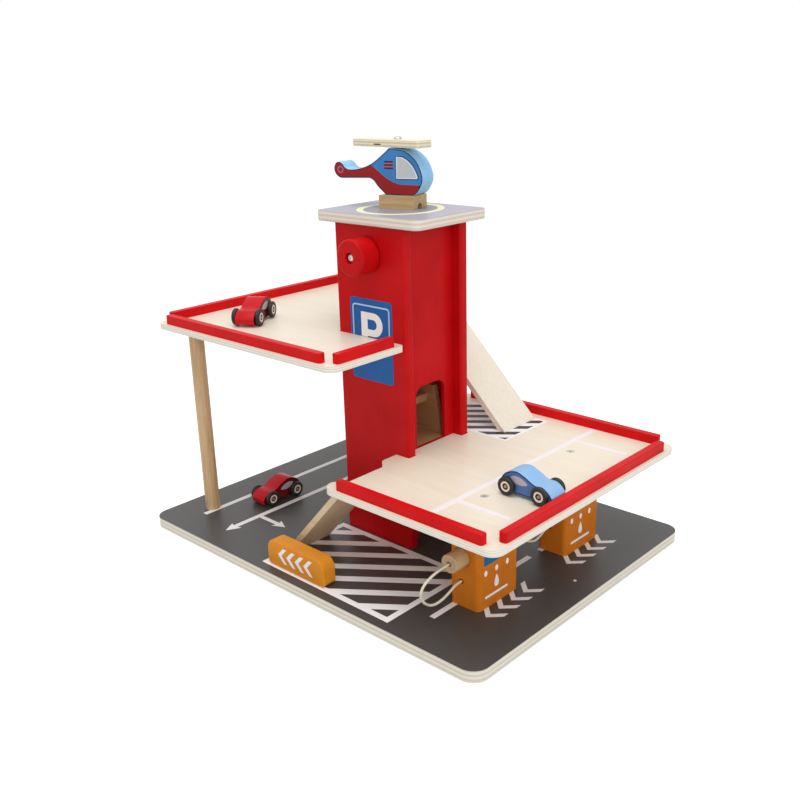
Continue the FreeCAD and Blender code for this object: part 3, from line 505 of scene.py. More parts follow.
FINISHES = [
    (plywood, "base_board", "printed base", 0, 11, (74, 73, 72), (64, 63, 62), ALONG_X, 0.9,
     ((228, 223, 208), (208, 201, 184))),
    (plywood, "helipad_board", "printed pad", 335.5, 10, (178, 175, 186), (160, 157, 170),
     ALONG_X, 0.9, ((232, 224, 208), (212, 200, 184))),
    (plywood, "lower_deck", "birch, lower", 105, 6, (243, 236, 219), (234, 221, 196), PANEL_X,
     1.3),
    (plywood, "upper_deck", "birch, upper", 220, 6, (242, 235, 219), (233, 220, 196), PANEL_X,
     1.3),
    (plywood, "rotor", "birch, rotor", 402.8, 7.2, (240, 234, 214), (226, 216, 188), ALONG_X,
     1.2, ((236, 228, 202), (206, 192, 158)), 0.45, -3),
    (painted, "tower_* crank_knob", "red lacquer", (200, 16, 20), (166, 6, 10), 0.34),
    (painted, "*_rail", "rail lacquer", (216, 16, 20), (182, 6, 10), 0.36, 0.03, 0.8),
    (painted, "fuel_pump_*", "orange lacquer", (212, 122, 32), (186, 94, 18)),
    (painted, "barrier_block", "barrier lacquer", (230, 150, 46), (206, 122, 28)),
    (solid_wood, "lower_ramp", "beech, lower ramp", (226, 206, 170), (200, 172, 130), ALONG_X),
    (solid_wood, "upper_ramp", "birch, upper ramp", (246, 240, 226), (232, 220, 196), ALONG_X,
     1.2),
    (solid_wood, "deck_post_*", "beech, upright", (216, 186, 144), (184, 146, 102), ALONG_Z,
     1.8),
    (solid_wood, "nozzle_* winding_axle", "beech, dowel", (204, 174, 130), (172, 136, 92),
     ALONG_Y),
    # The cabin's beech is darker and redder than the other beech. It is the wood's own tone with
    # painted shade for the inside of the tower.
    (solid_wood, "lift_floor lift_side_* lift_cross_bar", "beech, cabin", (184, 138, 98),
     (150, 104, 66), ALONG_X),
    (solid_wood, "helicopter_skid", "beech, skid", (206, 176, 126), (176, 140, 90), ALONG_X,
     1.8, 0.5, -13),
]
for recipe, patterns, *row in FINISHES:
    finish = recipe(*row)
    names = [name for pattern in patterns.split() for name in fnmatch.filter(nodes, pattern)]
    for name in names:
        nodes[name].data.materials.clear()
        nodes[name].data.materials.append(finish)
    print(finish.name, "on", *names)
mix_inks({
    "white ink": ((250, 249, 249), (232, 230, 232)),
    "pale bay ink": ((247, 241, 243), (240, 232, 236)),
    "dark ink": ((52, 48, 50), (40, 36, 38)),
    "sign blue ink": ((22, 98, 172), (14, 78, 146)),
    "sign frame ink": ((186, 212, 242), (164, 196, 234)),
    "pale yellow ink": ((244, 242, 198), (234, 230, 178)),
    "disc ink": ((150, 147, 158), (134, 131, 144)),
    "pump blue ink": ((6, 102, 152), (2, 84, 132)),
    # The hole shade ink is painted shade: a dark film that stands for the shade inside holes and
    # gaps.
    "hole shade ink": ((58, 40, 28), (40, 26, 18)),
})

# %% [markdown]
# The hoses are limp cords. Their lines repeat the measured routes as the control points of
# a smooth curve. A hose is one tube from the pump's face to the plug, and it bends between
# the pump and the plug that pulls out, so it has to be a mesh.

# %% Hoses
fibre, tree = new_finish("cream cord", 0.8)
place = own_place(tree)
twist = noise(tree, place, 1400.0, 2.0)
tone = calc(tree, "MULTIPLY_ADD", noise(tree, place, 60.0, 2.0), 0.5,
            calc(tree, "MULTIPLY", twist, 0.5))
tone = node(tree, "MapRange", {0: tone, 1: 0.3, 2: 0.7}).outputs[0]
colour = mix_colour(tree, tone, screen_colour(214, 200, 172), screen_colour(240, 232, 214))
surface(tree, colour, twist, 0.1)
HOSE_DIAMETER = 0.0024
HOSES = {
    "front": (0.1041, 0.0375, [
        (153.5, -96.5, 36.5), (153.5, -104.5, 36.5), (152.5, -112, 31.5), (150, -119.5, 26),
        (148.5, -130, 24.5), (148.5, -140.5, 31), (149, -147, 41), (150.5, -145, 51),
        (152.5, -135, 58), (153.5, -123, 60.5), (153.5, -113.5, 60.5)]),
    "rear": (0.0833, 0.039, [
        (153.5, 40.5, 38), (153.5, 33, 38), (153, 26.5, 33.5), (152.5, 18, 31),
        (151.5, 8.5, 33.5), (151, 0.5, 40), (151, -2.5, 49), (152.5, 3.5, 58),
        (153.5, 14, 60.5), (153.5, 23.5, 60.5)]),
}


def route(points):
    """A smooth curve whose control points are given in mm."""
    curve = curve_of([points], "NURBS")
    spline = curve.splines[0]
    spline.order_u = 3
    spline.use_endpoint_u = True
    spline.resolution_u = 10
    return curve


def tube_mesh(curve, diameter, rounding=4):
    """A tube round a curve, with a diameter in metres."""
    curve.bevel_depth = diameter / 2
    curve.bevel_resolution = rounding
    curve.use_fill_caps = True
    return smooth(welded(mesh_from(curve)), 60)


for side, (length, low, points) in HOSES.items():
    line = [tuple(vertex.co) for vertex in mesh_from(route(points)).vertices]
    tube = tube_mesh(route(points), HOSE_DIAMETER)
    hose = piece_of("hose_%s_cord" % side, tube, [fibre], None, "hose_" + side)
    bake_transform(hose)

# %% [markdown]
# Each hose goes into a drilled hole at both ends. A dark ring round the hose is painted shade: it
# stands for the shade inside the hole's mouth.

# %% Painted shade in the mouths of the hose holes
MOUTHS = [
    ("hose_mouth_front", (153.5, -113.5, 60.5), "front_nozzle", "natural_wood"),
    ("hose_mouth_rear", (153.5, 23.5, 60.5), "rear_nozzle", "natural_wood"),
    ("pump_mouth_front", (153.5, -96.5, 36.5), "root", "orange_paint"),
    ("pump_mouth_rear", (153.5, 40.5, 38), "root", "orange_paint"),
]
for name, (x, y, z), body, slot in MOUTHS:
    ring = [circle_outline(x, z, 2.5, 24), circle_outline(x, z, 1.22, 24)]
    ink(name, ring, (on_front(y), body, slot), "hole shade ink", 0.06)

# %% [markdown]
# The lift's cord hangs from the winding axle and holds the cabin's cross bar. It is a thin tube
# with many rings between the tower and the cabin.

# %% Lift cord
CORD_X = 3.35
CORD_TOP = 307.5
CORD_LOW = 152.0
CORD_DIAMETER = 0.0015
CORD_STEPS = 40
cord_points = [(CORD_X, 0, CORD_TOP + (CORD_LOW - CORD_TOP) * step / CORD_STEPS)
               for step in range(CORD_STEPS + 1)]
lift_cord = piece_of("lift_string", tube_mesh(curve_of([cord_points]), CORD_DIAMETER, 3),
                     [fibre], None, "lift_cord")
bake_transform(lift_cord)

# %% [markdown]
# What repeats is made by Geometry Nodes. One tree places copies of a piece in a row: it has
# a count and a step as named inputs, and it ends by making the copies real and giving them
# their material. The chevrons, the stripes and the dots all come from it.

# %% The row tree


def end_tree(tree, copies, asked, given):
    """Make a tree's copies real, give them their material and put them out."""
    real = node(tree, "RealizeInstances", {0: copies.outputs[0]})
    dressed = node(tree, "SetMaterial", {0: real.outputs[0], "Material": asked["Finish"]})
    put_out(tree, given, dressed.outputs[0])


def shape_group(name, inputs):
    """An empty tree that takes a piece, a finish and more, and gives a shape."""
    inputs = {"Piece": "Geometry", **inputs, "Finish": "Material"}
    return group_of(name, inputs, {"Geometry": "Geometry"}, "Geometry")


row, asked, given = shape_group("row of pieces", {"Count": "Int", "Step": "Vector"})
line = node(row, "MeshLine", {"Count": asked["Count"], "Offset": asked["Step"]})
copies = node(row, "InstanceOnPoints", {"Points": line.outputs[0], "Instance": asked["Piece"]})
end_tree(row, copies, asked, given)


def run_tree(tree, mesh, values):
    """The mesh that a tree makes from a piece. Its inputs are set by their identifiers."""
    keys = {item.name: item.identifier for item in tree.interface.items_tree}
    holder = in_scene("holder", mesh)
    modifier = holder.modifiers.new("nodes", "NODES")
    modifier.node_group = tree
    for label, value in values.items():
        modifier[keys[label]] = value
    holder.update_tag()
    return plain_mesh(holder)


def row_of(name, outline, count, step, face, colour, high=INK_HIGH):
    """A row of equal printed figures. The step is in mm in the drawing."""
    made = run_tree(row, flat_mesh([outline], INK_LOW, high), {
        "Count": count, "Step": (step[0] * MM, step[1] * MM, 0.0), "Finish": inks[colour]})
    lay_on(face, name, made, colour)


# %% [markdown]
# The no-parking field is a rectangle of slanted stripes in a border. A tree lays a row of
# long bars at an angle, cuts them to the field's edges with a Mesh Boolean, and so the same
# tree serves the yard and the lower deck.

# %% The striped field tree
field, asked, given = shape_group("striped field", {
    "Field Size": "Vector", "Field Middle": "Vector", "Bars": "Int", "Bar Size": "Vector",
    "First Bar": "Vector", "Bar Step": "Vector", "Bar Turn": "Vector"})
bar = node(field, "MeshCube", {"Size": asked["Bar Size"]})
line = node(field, "MeshLine", {
    "Count": asked["Bars"], "Start Location": asked["First Bar"], "Offset": asked["Bar Step"]})
turned = node(field, "FunctionNodeEulerToRotation", {0: asked["Bar Turn"]})
bars = node(field, "InstanceOnPoints", {
    "Points": line.outputs[0], "Instance": bar.outputs[0], "Rotation": turned.outputs[0]})
real = node(field, "RealizeInstances", {0: bars.outputs[0]})
plate = node(field, "MeshCube", {"Size": asked["Field Size"]})
placed = node(field, "Transform",
              {"Geometry": plate.outputs[0], "Translation": asked["Field Middle"]})
trimmed = node(field, "MeshBoolean", {"Mesh 2": real.outputs[0]}, operation="INTERSECT")
field.links.new(placed.outputs[0], trimmed.inputs["Mesh 2"])
end_tree(field, trimmed, asked, given)
BAR_LENGTH = 0.7
BAR_HEIGHT = 0.001


def striped_field(name, corners, first, step, bars, width, degrees, face, colour):
    """Slanted bars inside a rectangle. Sizes in mm, the corners as low and high x and y."""
    low_x, high_x, low_y, high_y = corners
    angle = math.radians(degrees)
    middle = metres(((low_x + high_x) / 2, (low_y + high_y) / 2, (INK_HIGH + INK_LOW) / 2))
    across = Vector((math.sin(angle), -math.cos(angle), 0))
    start = across * first * MM
    start.z = middle[2]
    made = welded(run_tree(field, bpy.data.meshes.new("blank"), {
        "Field Size": metres((high_x - low_x, high_y - low_y, INK_HIGH - INK_LOW)),
        "Field Middle": middle, "Bars": bars, "Bar Size": (BAR_LENGTH, width * MM, BAR_HEIGHT),
        "First Bar": tuple(start), "Bar Step": tuple(across * step * MM),
        "Bar Turn": (0.0, 0.0, angle), "Finish": inks[colour]}))
    area = sum(polygon.area for polygon in made.polygons if polygon.normal.z > 0.9)
    print(name, "covers", round(area / MM ** 2), "mm2")
    lay_on(face, name, made, colour)


# %% [markdown]
# The yard's marks lie on the base board: two long lines with arrows, the striped field in
# its white border, the lane line past the pumps and a row of chevrons beside each pump.

# %% Yard marks
YARD = on_top(11), "root", "base_grey"
long_line = [(-139.2, 168), (-139.2, -129), (-144, -127.5), (-136, -142.5), (-128, -127.5),
             (-132.8, -129), (-132.8, 168)]
branch = [(-132.75, -98.6), (-105.5, -98.6), (-107, -103), (-92.5, -96), (-107, -89),
          (-105.5, -93.4), (-132.75, -93.4)]
lane_lines = [box_outline(142.8, 148.8, -128.5, 19), box_outline(142.8, 148.8, 36, 130)]
post_line = box_outline(-190.5, -184.1, -132, 168)
dot = circle_outline(206, 8, 1.6, 16)
ink("yard_lines", [long_line, branch, *lane_lines, post_line, dot], YARD, "white ink")
inner_field = (-45.5, 115, -154, -54.5)
border = [box_outline(-52, 121.5, -160.5, -48), box_outline(*inner_field)]
ink("yard_field_border", border, YARD, "white ink")
striped_field("yard_field_stripes", inner_field, 30.2, 24.15, 7, 9.25, 36.7, YARD, "white ink")
chevron = [(-11.4, 11), (0, 0), (11.4, 11), (11.4, 17.8), (0, 6.8), (-11.4, 17.8)]
for side, start in (("front", -97.0), ("rear", 30.2)):
    row_of("pump_chevrons_" + side, [(x + 181.8, y + start) for x, y in chevron], 4, (0, 18.7),
           YARD, "white ink")

# %% [markdown]
# The lower deck carries a small striped field at the foot of the upper ramp, here dark bars
# on white, and three very pale lines that mark the bays.

# %% Deck marks
DECK = on_top(111), "root", "deck_ply"
ink("deck_field_ground", [box_outline(-20, 91, 51, 126.5)], DECK, "white ink", 0.06)
striped_field("deck_field_stripes", (-16, 87.5, 54.5, 122.5), -92.6, 17.1, 8, 8.4, 38, DECK,
              "dark ink")
bay_lines = [box_outline(140, 146.4, -121, 144), box_outline(146.5, 202, 94, 99.5),
             box_outline(146.5, 202, -93, -87.5)]
ink("bay_lines", bay_lines, DECK, "pale bay ink", 0.05)

# %% [markdown]
# The landing pad's ring is plain, with a darker disc inside it.

# %% Landing ring
PAD = on_top(345.5), "root", "helipad_grey"
ink("landing_disc", [circle_outline(0, 0, 36.2)], PAD, "disc ink", 0.06)
ink("landing_ring", [circle_outline(0, 0, 43), circle_outline(0, 0, 36.3)], PAD,
    "pale yellow ink")

# %% [markdown]
# The parking sign is printed on the tower's front. The upper deck runs in front of its
# lower part, so it is two films, one above and one below the deck. Its letter is drawn
# from straight lines and a half ring.

# %% Parking sign
SIGN = on_front(-46), "root", "red_paint"
DECK_TOP = 226.3
DECK_UNDERSIDE = 219.7


def arch(low_x, high_x, low_y, high_y, radius):
    """A rectangle's outline above its foot, with round upper corners, from the right."""
    whole = round_outline(low_x, high_x, low_y - 20, high_y, radius)
    return [point for point in whole if point[1] > low_y]


upper_sign = arch(-28, 28.5, DECK_TOP, 264.5, 4) + [(-28, DECK_TOP), (28.5, DECK_TOP)]
lower_sign = [point for point in round_outline(-28, 28.5, 182, 240, 4)
              if point[1] < DECK_UNDERSIDE]
lower_sign += [(28.5, DECK_UNDERSIDE), (-28, DECK_UNDERSIDE)]
ink("sign_upper", [upper_sign], SIGN, "sign blue ink")
ink("sign_lower", [lower_sign], SIGN, "sign blue ink")
FOOT = 226.4
frame_line = (arch(-25, 25.2, FOOT, 258.4, 4) + [(-25, FOOT), (-23.4, FOOT)]
              + arch(-23.4, 23.6, FOOT, 256.8, 2.4)[::-1] + [(23.6, FOOT), (25.2, FOOT)])
ink("sign_frame", [frame_line], SIGN, "sign frame ink", 0.16)
BOWL_HEIGHT = 239.3
BOWL_RADIUS = 11.8
HOLE_RADIUS = 5.0


def half_ring(x, radius):
    """Points round the bowl of the letter, from the top to the bottom."""
    return [polar(x, BOWL_HEIGHT, radius, degrees) for degrees in range(90, -91, -10)]


letter = [(-13.3, BOWL_HEIGHT + BOWL_RADIUS), *half_ring(3.8, BOWL_RADIUS),
          (-4.8, BOWL_HEIGHT - BOWL_RADIUS), (-4.8, FOOT), (-13.3, FOOT)]
hole = [(-4.6, BOWL_HEIGHT + HOLE_RADIUS), *half_ring(2.7, HOLE_RADIUS),
        (-4.6, BOWL_HEIGHT - HOLE_RADIUS)]
ink("sign_letter", [letter, hole], SIGN, "white ink", 0.16)

# %% [markdown]
# White chevrons point the way on the barrier, and each pump shows a blue display, three
# white dots, a drop and a line.

# %% Marks on the barrier and the pumps
BARRIER = on_front(-157.5), "root", "orange_paint"
PUMP = laid((0, 1, 0), (0, 0, 1), (173, 0, 0)), "root", "orange_paint"
arrow = [(-29.5, 25.5), (-21.5, 33.6), (-16.6, 33.6), (-24.2, 25.5), (-16.6, 17.4),
         (-21.5, 17.4)]
row_of("barrier_chevrons", arrow, 4, (12.4, 0), BARRIER, "white ink")
drop = [(-2.6 * math.sin(a) * (0.62 + 0.38 * math.cos(a)) * 1.75, -4.6 * math.cos(a) * 1.35)
        for a in [2 * math.pi * step / 32 for step in range(32)]]
for side, middle in (("front", -70.2), ("rear", 66.8)):
    dot = [(middle - 15.8 + 2.1 * x, 46.4 + 2.9 * z) for x, z in circle_outline(0, 0, 1, 24)]
    row_of("pump_dots_" + side, dot, 3, (15.8, 0), PUMP, "white ink")
    ink("pump_display_" + side, [round_outline(middle - 18.3, middle + 18.3, 54, 84, 1.5)],
        PUMP, "pump blue ink")
    ink("pump_marks_" + side, [[(middle - x, 33.8 + z) for x, z in drop],
                               round_outline(middle - 16.6, middle + 16.6, 20.7, 23.1, 1.1)],
        PUMP, "white ink")

# %% [markdown]
# The helicopter and the cars are sawn from board. Their sides are printed, and the sawn
# face round them has one colour. A smooth line through a few points gives each outline.

# %% Outlines of the carved toys


def through(points, steps=8):
    """A smooth line through points, as a Catmull-Rom spline."""
    line = []
    first_end = [3 * a - 3 * b + c for a, b, c in zip(*points[:3])]
    last_end = [3 * a - 3 * b + c for a, b, c in zip(points[-1], points[-2], points[-3])]
    ends = [first_end] + list(points) + [last_end]
    for before, first, second, after in zip(ends, ends[1:], ends[2:], ends[3:]):
        for step in range(steps):
            t = step / steps
            line.append(tuple(
                0.5 * (2 * b + (c - a) * t + (2 * a - 5 * b + 4 * c - d) * t * t
                       + (3 * b - a - 3 * c + d) * t ** 3)
                for a, b, c, d in zip(before, first, second, after)))
    return line + [tuple(points[-1])]


def inset(outline, distance):
    """An outline moved inwards. It runs clockwise or the other way round."""
    area = sum(a[0] * b[1] - b[0] * a[1] for a, b in zip(outline, outline[1:] + outline[:1]))
    sign = 1 if area > 0 else -1
    moved = []
    count = len(outline)
    for number, here in enumerate(outline):
        before, after = Vector(outline[number - 1]), Vector(outline[(number + 1) % count])
        along = (after - before).normalized()
        moved.append((here[0] - sign * along.y * distance, here[1] + sign * along.x * distance))
    return moved


def span_at(outline, across):
    """The lowest and highest point of an outline at a place along it."""
    found = []
    for a, b in zip(outline, outline[1:] + outline[:1]):
        if (a[0] - across) * (b[0] - across) <= 0 and a[0] != b[0]:
            found.append(a[1] + (b[1] - a[1]) * (across - a[0]) / (b[0] - a[0]))
    return (min(found), max(found)) if found else None


def part_of(outline, split, above):
    """The part of an outline above or below a split line, a function of the place along it."""
    stations = 60
    low = min(point[0] for point in outline) + 0.02
    high = max(point[0] for point in outline) - 0.02
    tops, bottoms = [], []
    for station in range(stations + 1):
        across = low + (high - low) * station / stations
        bottom, top = span_at(outline, across)
        level = split(across)
        bottom, top = (max(bottom, level), top) if above else (bottom, min(top, level))
        if top > bottom + 0.05:
            tops.append((across, top))
            bottoms.append((across, bottom))
    return tops + bottoms[::-1]


def board_mesh(outline, half_width, edge):
    """An outline in x and z drawn out to a board across y, with rounded rims. In mm."""
    mesh = mesh_from(flat_mesh([outline], -half_width, half_width), "BEVEL", width=edge * MM,
                     segments=3, limit_method="ANGLE", angle_limit=math.radians(50),
                     harden_normals=False)
    mesh.transform(on_front(0))
    return smooth(welded(mesh), 32)


def standing(x, y, z, degrees):
    """The place of a thing that stands at a point in mm, turned round its upright."""
    return Matrix.Translation(metres((x, y, z))) @ turn_about("Z", degrees)


def sides_of(place, half_width, body, slot):
    """A board's near and far side: its name, the way that x runs on it, and its face."""
    return [(side, way, (place @ laid((way, 0, 0), (0, 0, 1), (0, -way * half_width, 0)),
                         body, slot)) for side, way in (("near", 1), ("far", -1))]


def mirrored(outline, way):
    """An outline on a side where x runs one way or the other."""
    return [(way * x, z) for x, z in outline]


def print_marks(name, side, marks):
    """Print figures on one side of a board."""
    label, way, face = side
    for mark, outlines, colour, high in marks:
        ink("%s_%s_%s" % (name, mark, label), [mirrored(outline, way) for outline in outlines],
            face, colour, high)


print("outline helpers are ready")

# %% Helicopter
HELI_LENGTH = 98.5
HELI_HEIGHT = 44.2
SKID_HEIGHT = 12.8
HELI_HALF = 10.85
HELI_CURVES = [
    [(-0.640, 0.335), (-0.698, 0.400), (-0.724, 0.525), (-0.706, 0.650), (-0.668, 0.690),
     (-0.628, 0.655), (-0.600, 0.580)],
    [(-0.568, 0.536), (-0.437, 0.548), (-0.284, 0.665), (-0.142, 0.887), (-0.081, 1.000)],
    [(0.069, 0.966), (0.178, 0.835), (0.251, 0.633), (0.287, 0.344), (0.231, 0.084), (0.156, 0.0)],
    [(-0.122, 0.0), (-0.213, 0.170), (-0.268, 0.310), (-0.325, 0.353)],
]
heli_outline = []
for curve in HELI_CURVES:
    heli_outline += [(x * HELI_LENGTH, SKID_HEIGHT + z * HELI_HEIGHT) for x, z in through(curve)]
heli_place = standing(-3.5, 7.6, 345.5, 13)
heli_blue = painted("helicopter rim blue", (156, 206, 240), (128, 184, 226), 0.34, 0.05, 0.4)
mix_inks({
    "helicopter blue ink": ((62, 128, 190), (48, 108, 172)),
    "helicopter red ink": ((150, 16, 18), (124, 8, 10)),
    "window ink": ((196, 200, 200), (178, 184, 186)),
    "window rim ink": ((214, 226, 246), (196, 210, 236)),
}, 0.36)
mix_inks({"outline ink": ((26, 30, 46), (16, 18, 30)),
          "mark ink": ((176, 96, 120), (150, 76, 100))}, 0.4)
body_mesh = board_mesh(heli_outline, HELI_HALF, 0.9)
body_mesh.transform(heli_place)
piece_of("helicopter_shell", body_mesh, [heli_blue], "helicopter",
         "helicopter_body")
SPLIT = [(-99, 99), (-28.8, 99), (-28.7, 41.2), (-18.3, 33.4), (-10.5, 28), (-3, 24.6), (4, 23),
         (99, 22)]


def heli_split(across):
    """The height at which red turns to blue."""
    for (x0, z0), (x1, z1) in zip(SPLIT, SPLIT[1:]):
        if x0 <= across <= x1:
            return z0 + (z1 - z0) * (across - x0) / (x1 - x0)
    return 22


printed_field = inset(heli_outline, 1.1)
window = [(-0.6, 28.3), (-0.4, 49),
          *through([(6.6, 48.7), (16.2, 42.5), (22.4, 32.5), (22.3, 28.6)], 5)]
stripe = box_outline(-13.6, -3.9, 37.4, 38.9)
tail_mark = [circle_outline(-64, 35.9, 3.6, 24), circle_outline(-64, 35.9, 2.2, 20)]
HELI_MARKS = [
    ("outline", [inset(heli_outline, 0.25)], "outline ink", 0.03),
    ("blue", [part_of(printed_field, heli_split, True)], "helicopter blue ink", 0.06),
    ("red", [part_of(printed_field, heli_split, False)], "helicopter red ink", 0.06),
    ("window_line", [inset(window, -0.9)], "outline ink", 0.09),
    ("window_rim", [inset(window, 0.1)], "window rim ink", 0.12),
    ("window", [inset(window, 1.5)], "window ink", 0.15),
    ("tail_mark", tail_mark, "mark ink", 0.09),
    ("grille", [box_outline(-13.6, -3.9, 37.5, 44.9)], "mark ink", 0.09),
]
for side in sides_of(heli_place, HELI_HALF, "helicopter", "helicopter_paint"):
    print_marks("helicopter", side, HELI_MARKS)
    label, way, face = side
    row_of("helicopter_stripes_" + label, mirrored(stripe, way), 3, (0, 3.0), face,
           "outline ink", 0.12)

# %% [markdown]
# The rotor is a strip of plywood. One of its middle layers has a short gap, which shows on the long
# edge as a dark slot of shade, so that shade is painted there as dark ink and turns with the rotor.

# %% Painted shade in the gap in the rotor's edge
rotor_edge = standing(-7.4, 6.7, 0, -2) @ on_front(-10)
# A dark film of painted shade stands for the shadow inside the gap.
ink("rotor_edge_gap", [box_outline(-23, -13.5, 404.8, 405.9)], (rotor_edge, "rotor", "deck_ply"),
    "hole shade ink", 0.06)

# %% [markdown]
# A car is the same kind of thing: a board with a curved roof, a printed side with a window
# and a dark line round it, and four wheels. The wheels are turned on a lathe, so their
# meshes are half a section spun round the axle.

# %% Turned shapes


def mesh_of(work):
    """The mesh that an edit has made. The edit ends."""
    mesh = bpy.data.meshes.new("mesh")
    work.to_mesh(mesh)
    work.free()
    return mesh


def turned_mesh(section, steps=48, closed=True):
    """A section of radius and place along the axis in mm, spun round Y. It starts and ends
    on the axis, or it is a closed ring."""
    work = bmesh.new()
    rings = []
    for radius, along in section:
        if radius < 1e-6:
            rings.append([work.verts.new((0, along * MM, 0))])
            continue
        turns = [2 * math.pi * step / steps for step in range(steps)]
        rings.append([work.verts.new((radius * math.cos(angle) * MM, along * MM,
                                      radius * math.sin(angle) * MM)) for angle in turns])
    pairs = list(zip(rings, rings[1:]))
    if closed:
        pairs.append((rings[-1], rings[0]))
    for low, high in pairs:
        for step in range(steps):
            after = (step + 1) % steps
            corners = dict.fromkeys([low[step % len(low)], low[after % len(low)],
                                     high[after % len(high)], high[step % len(high)]])
            if len(corners) > 2:
                work.faces.new(list(corners))
    bmesh.ops.recalc_face_normals(work, faces=work.faces)
    return smooth(mesh_of(work), 40)


def joined(meshes):
    """Several meshes as one, each with its own material numbers kept."""
    work = bmesh.new()
    for mesh in meshes:
        work.from_mesh(mesh)
    return mesh_of(work)


disc = turned_mesh([(0, 0), (2, 0), (2, 1), (0, 1)], 24, False)
print("a disc has", len(disc.polygons), "faces")

# %% Car finishes
hub_wood = solid_wood("pale hub", (240, 234, 222), (222, 210, 190), ALONG_Z, 1.2, 0.4)
hub_pin = solid_wood("hub pin", (176, 146, 124), (146, 114, 92), ALONG_Z, 1.2, 0.45)
rubber, tree = new_finish("tyre rubber", 0.55)
dust = noise(tree, own_place(tree), 260.0, 3.0)
colour = mix_colour(tree, dust, screen_colour(10, 10, 11), screen_colour(34, 34, 36))
surface(tree, colour, noise(tree, own_place(tree), 2200.0, 1.0), 0.04,
        Roughness=calc(tree, "MULTIPLY_ADD", dust, 0.3, 0.38))
# The hub recess ink is painted shade: a dark ring laid in each hub's recess round the pin, where
# shade falls.
mix_inks({"hub recess shade ink": ((34, 30, 30), (22, 20, 20))}, 0.6)
mix_inks({
    "car side blue ink": ((78, 114, 170), (62, 96, 150)),
    "car side red ink": ((112, 8, 14), (90, 4, 8)),
    "pane ink": ((186, 180, 190), (166, 160, 172)),
}, 0.36)
mix_inks({"car dark blue ink": ((24, 38, 78), (16, 26, 60)),
          "car black ink": ((28, 16, 18), (18, 8, 10))}, 0.4)
CAR_PAINTS = {
    "blue": (painted("car blue", (148, 190, 232), (122, 172, 222), 0.3, 0.08, 0.4),
             "car side blue ink", "car dark blue ink"),
    "red": (painted("car red", (206, 28, 38), (172, 14, 22), 0.3, 0.1, 0.4),
            "car side red ink", "car black ink"),
}
print(len(CAR_PAINTS), "car paints")

# %% Cars
CAR_HALF = 10.25
WHEEL_IN = CAR_HALF + 0.4
WHEEL_BASE = 35.5
AXLE_HEIGHT = 9.0
ROD_RADIUS = 1.95


def pushed(first, last, bulge):
    """The point halfway between two others, pushed out to the left of the way."""
    run = Vector(last) - Vector(first)
    left = Vector((-run.y, run.x)).normalized()
    return tuple((Vector(first) + Vector(last)) / 2 + left * bulge)


tail_high, roof, dip, nose_high = (-27.5, 8), (-10, 24.4), (10.5, 16.6), (28.8, 8.5)
car_top = through([tail_high, pushed(tail_high, roof, 4.5), roof, pushed(roof, dip, 1.0), dip,
                   pushed(dip, nose_high, 3.4), nose_high])
car_outline = car_top + [(27.6, 3), (-26.3, 3)]
pane = through([(-15.5, 17.4), (-11.2, 19.6), (-4.7, 19.2), (0.7, 16.9), (2.9, 14.2),
                (-2.4, 12.4), (-10, 12.9), (-15.5, 17.4)], 4)[:-1]
tyre_section = [(5.0, 0.4), (5.6, 0.1), (6.8, 0.0), (7.9, 0.25), (8.5, 0.8), (8.8, 1.6),
                (8.65, 2.1), (8.65, 2.6), (8.8, 3.1), (8.5, 3.9), (7.9, 4.45), (6.8, 4.7),
                (5.6, 4.6), (5.0, 4.3)]
hub_section = [(0, 0), (4.97, 0), (4.97, 4.25), (4.7, 4.5), (3.3, 4.5), (3.05, 4.3),
               (3.05, 3.2), (0, 3.2)]
# This ring of dark ink sits in the hub's recess as painted shade.
recess_shade_section = [(1.0, 3.0), (3.1, 3.0), (3.1, 4.2), (2.9, 4.2), (2.9, 3.3), (1.0, 3.3)]
pin_section = [(0, 2.5), (1.6, 2.5), (1.6, 4.3), (1.3, 4.6), (0, 4.6)]
CARS = {
    "blue_car": ("blue", (188.5, -41, 111), 0),
    "yard_car": ("red", (-157.5, -51.6, 11), -90),
    "upper_car": ("red", (-146.7, -73, 226), -60.3),
}


def wheel_pair(section, closed, number):
    """A turned shape on both ends of an axle, in the axle's own place."""
    both = joined([turned_mesh([(radius, way * (WHEEL_IN + along)) for radius, along in section],
                               48, closed) for way in (-1, 1)])
    for polygon in both.polygons:
        polygon.material_index = number
    return both


for car, (paint, middle, heading) in CARS.items():
    rim_paint, side_ink, line_ink = CAR_PAINTS[paint]
    slot = "%s_car_paint" % paint
    place = standing(*middle, heading)
    shell = board_mesh(car_outline, CAR_HALF, 1.0)
    shell.transform(place)
    piece_of(car + "_shell", shell, [rim_paint], car, car + "_body")
    for side in sides_of(place, CAR_HALF, car, slot):
        print_marks(car, side, [("line", [inset(car_outline, 0.25)], line_ink, 0.03),
                                ("side", [inset(car_outline, 1.4)], side_ink, 0.06),
                                ("pane", [pane], "pane ink", 0.09)])
    for end, way in (("front", 1), ("rear", -1)):
        axle = place @ Matrix.Translation(metres((way * WHEEL_BASE / 2, 0, AXLE_HEIGHT)))
        rod = turned_mesh([(0, -WHEEL_IN), (ROD_RADIUS, -WHEEL_IN), (ROD_RADIUS, WHEEL_IN),
                           (0, WHEEL_IN)], 24, False)
        wheels = joined([wheel_pair(hub_section, False, 0), rod,
                         wheel_pair(recess_shade_section, True, 1), wheel_pair(pin_section, False, 2)])
        rings = wheel_pair(tyre_section, True, 0)
        own = "%s_%s_" % (car, end)
        for name, mesh, finishes, slot_name, node_name in (
                ("hubs", wheels, [hub_wood, inks["hub recess shade ink"], hub_pin], "wheel_hub", "wheels"),
                ("rubber", rings, [rubber], "tyre_rubber", "tyres")):
            mesh.transform(axle)
            piece_of(own + name, smooth(mesh, 40), finishes, own + "axle",
                     own + node_name)

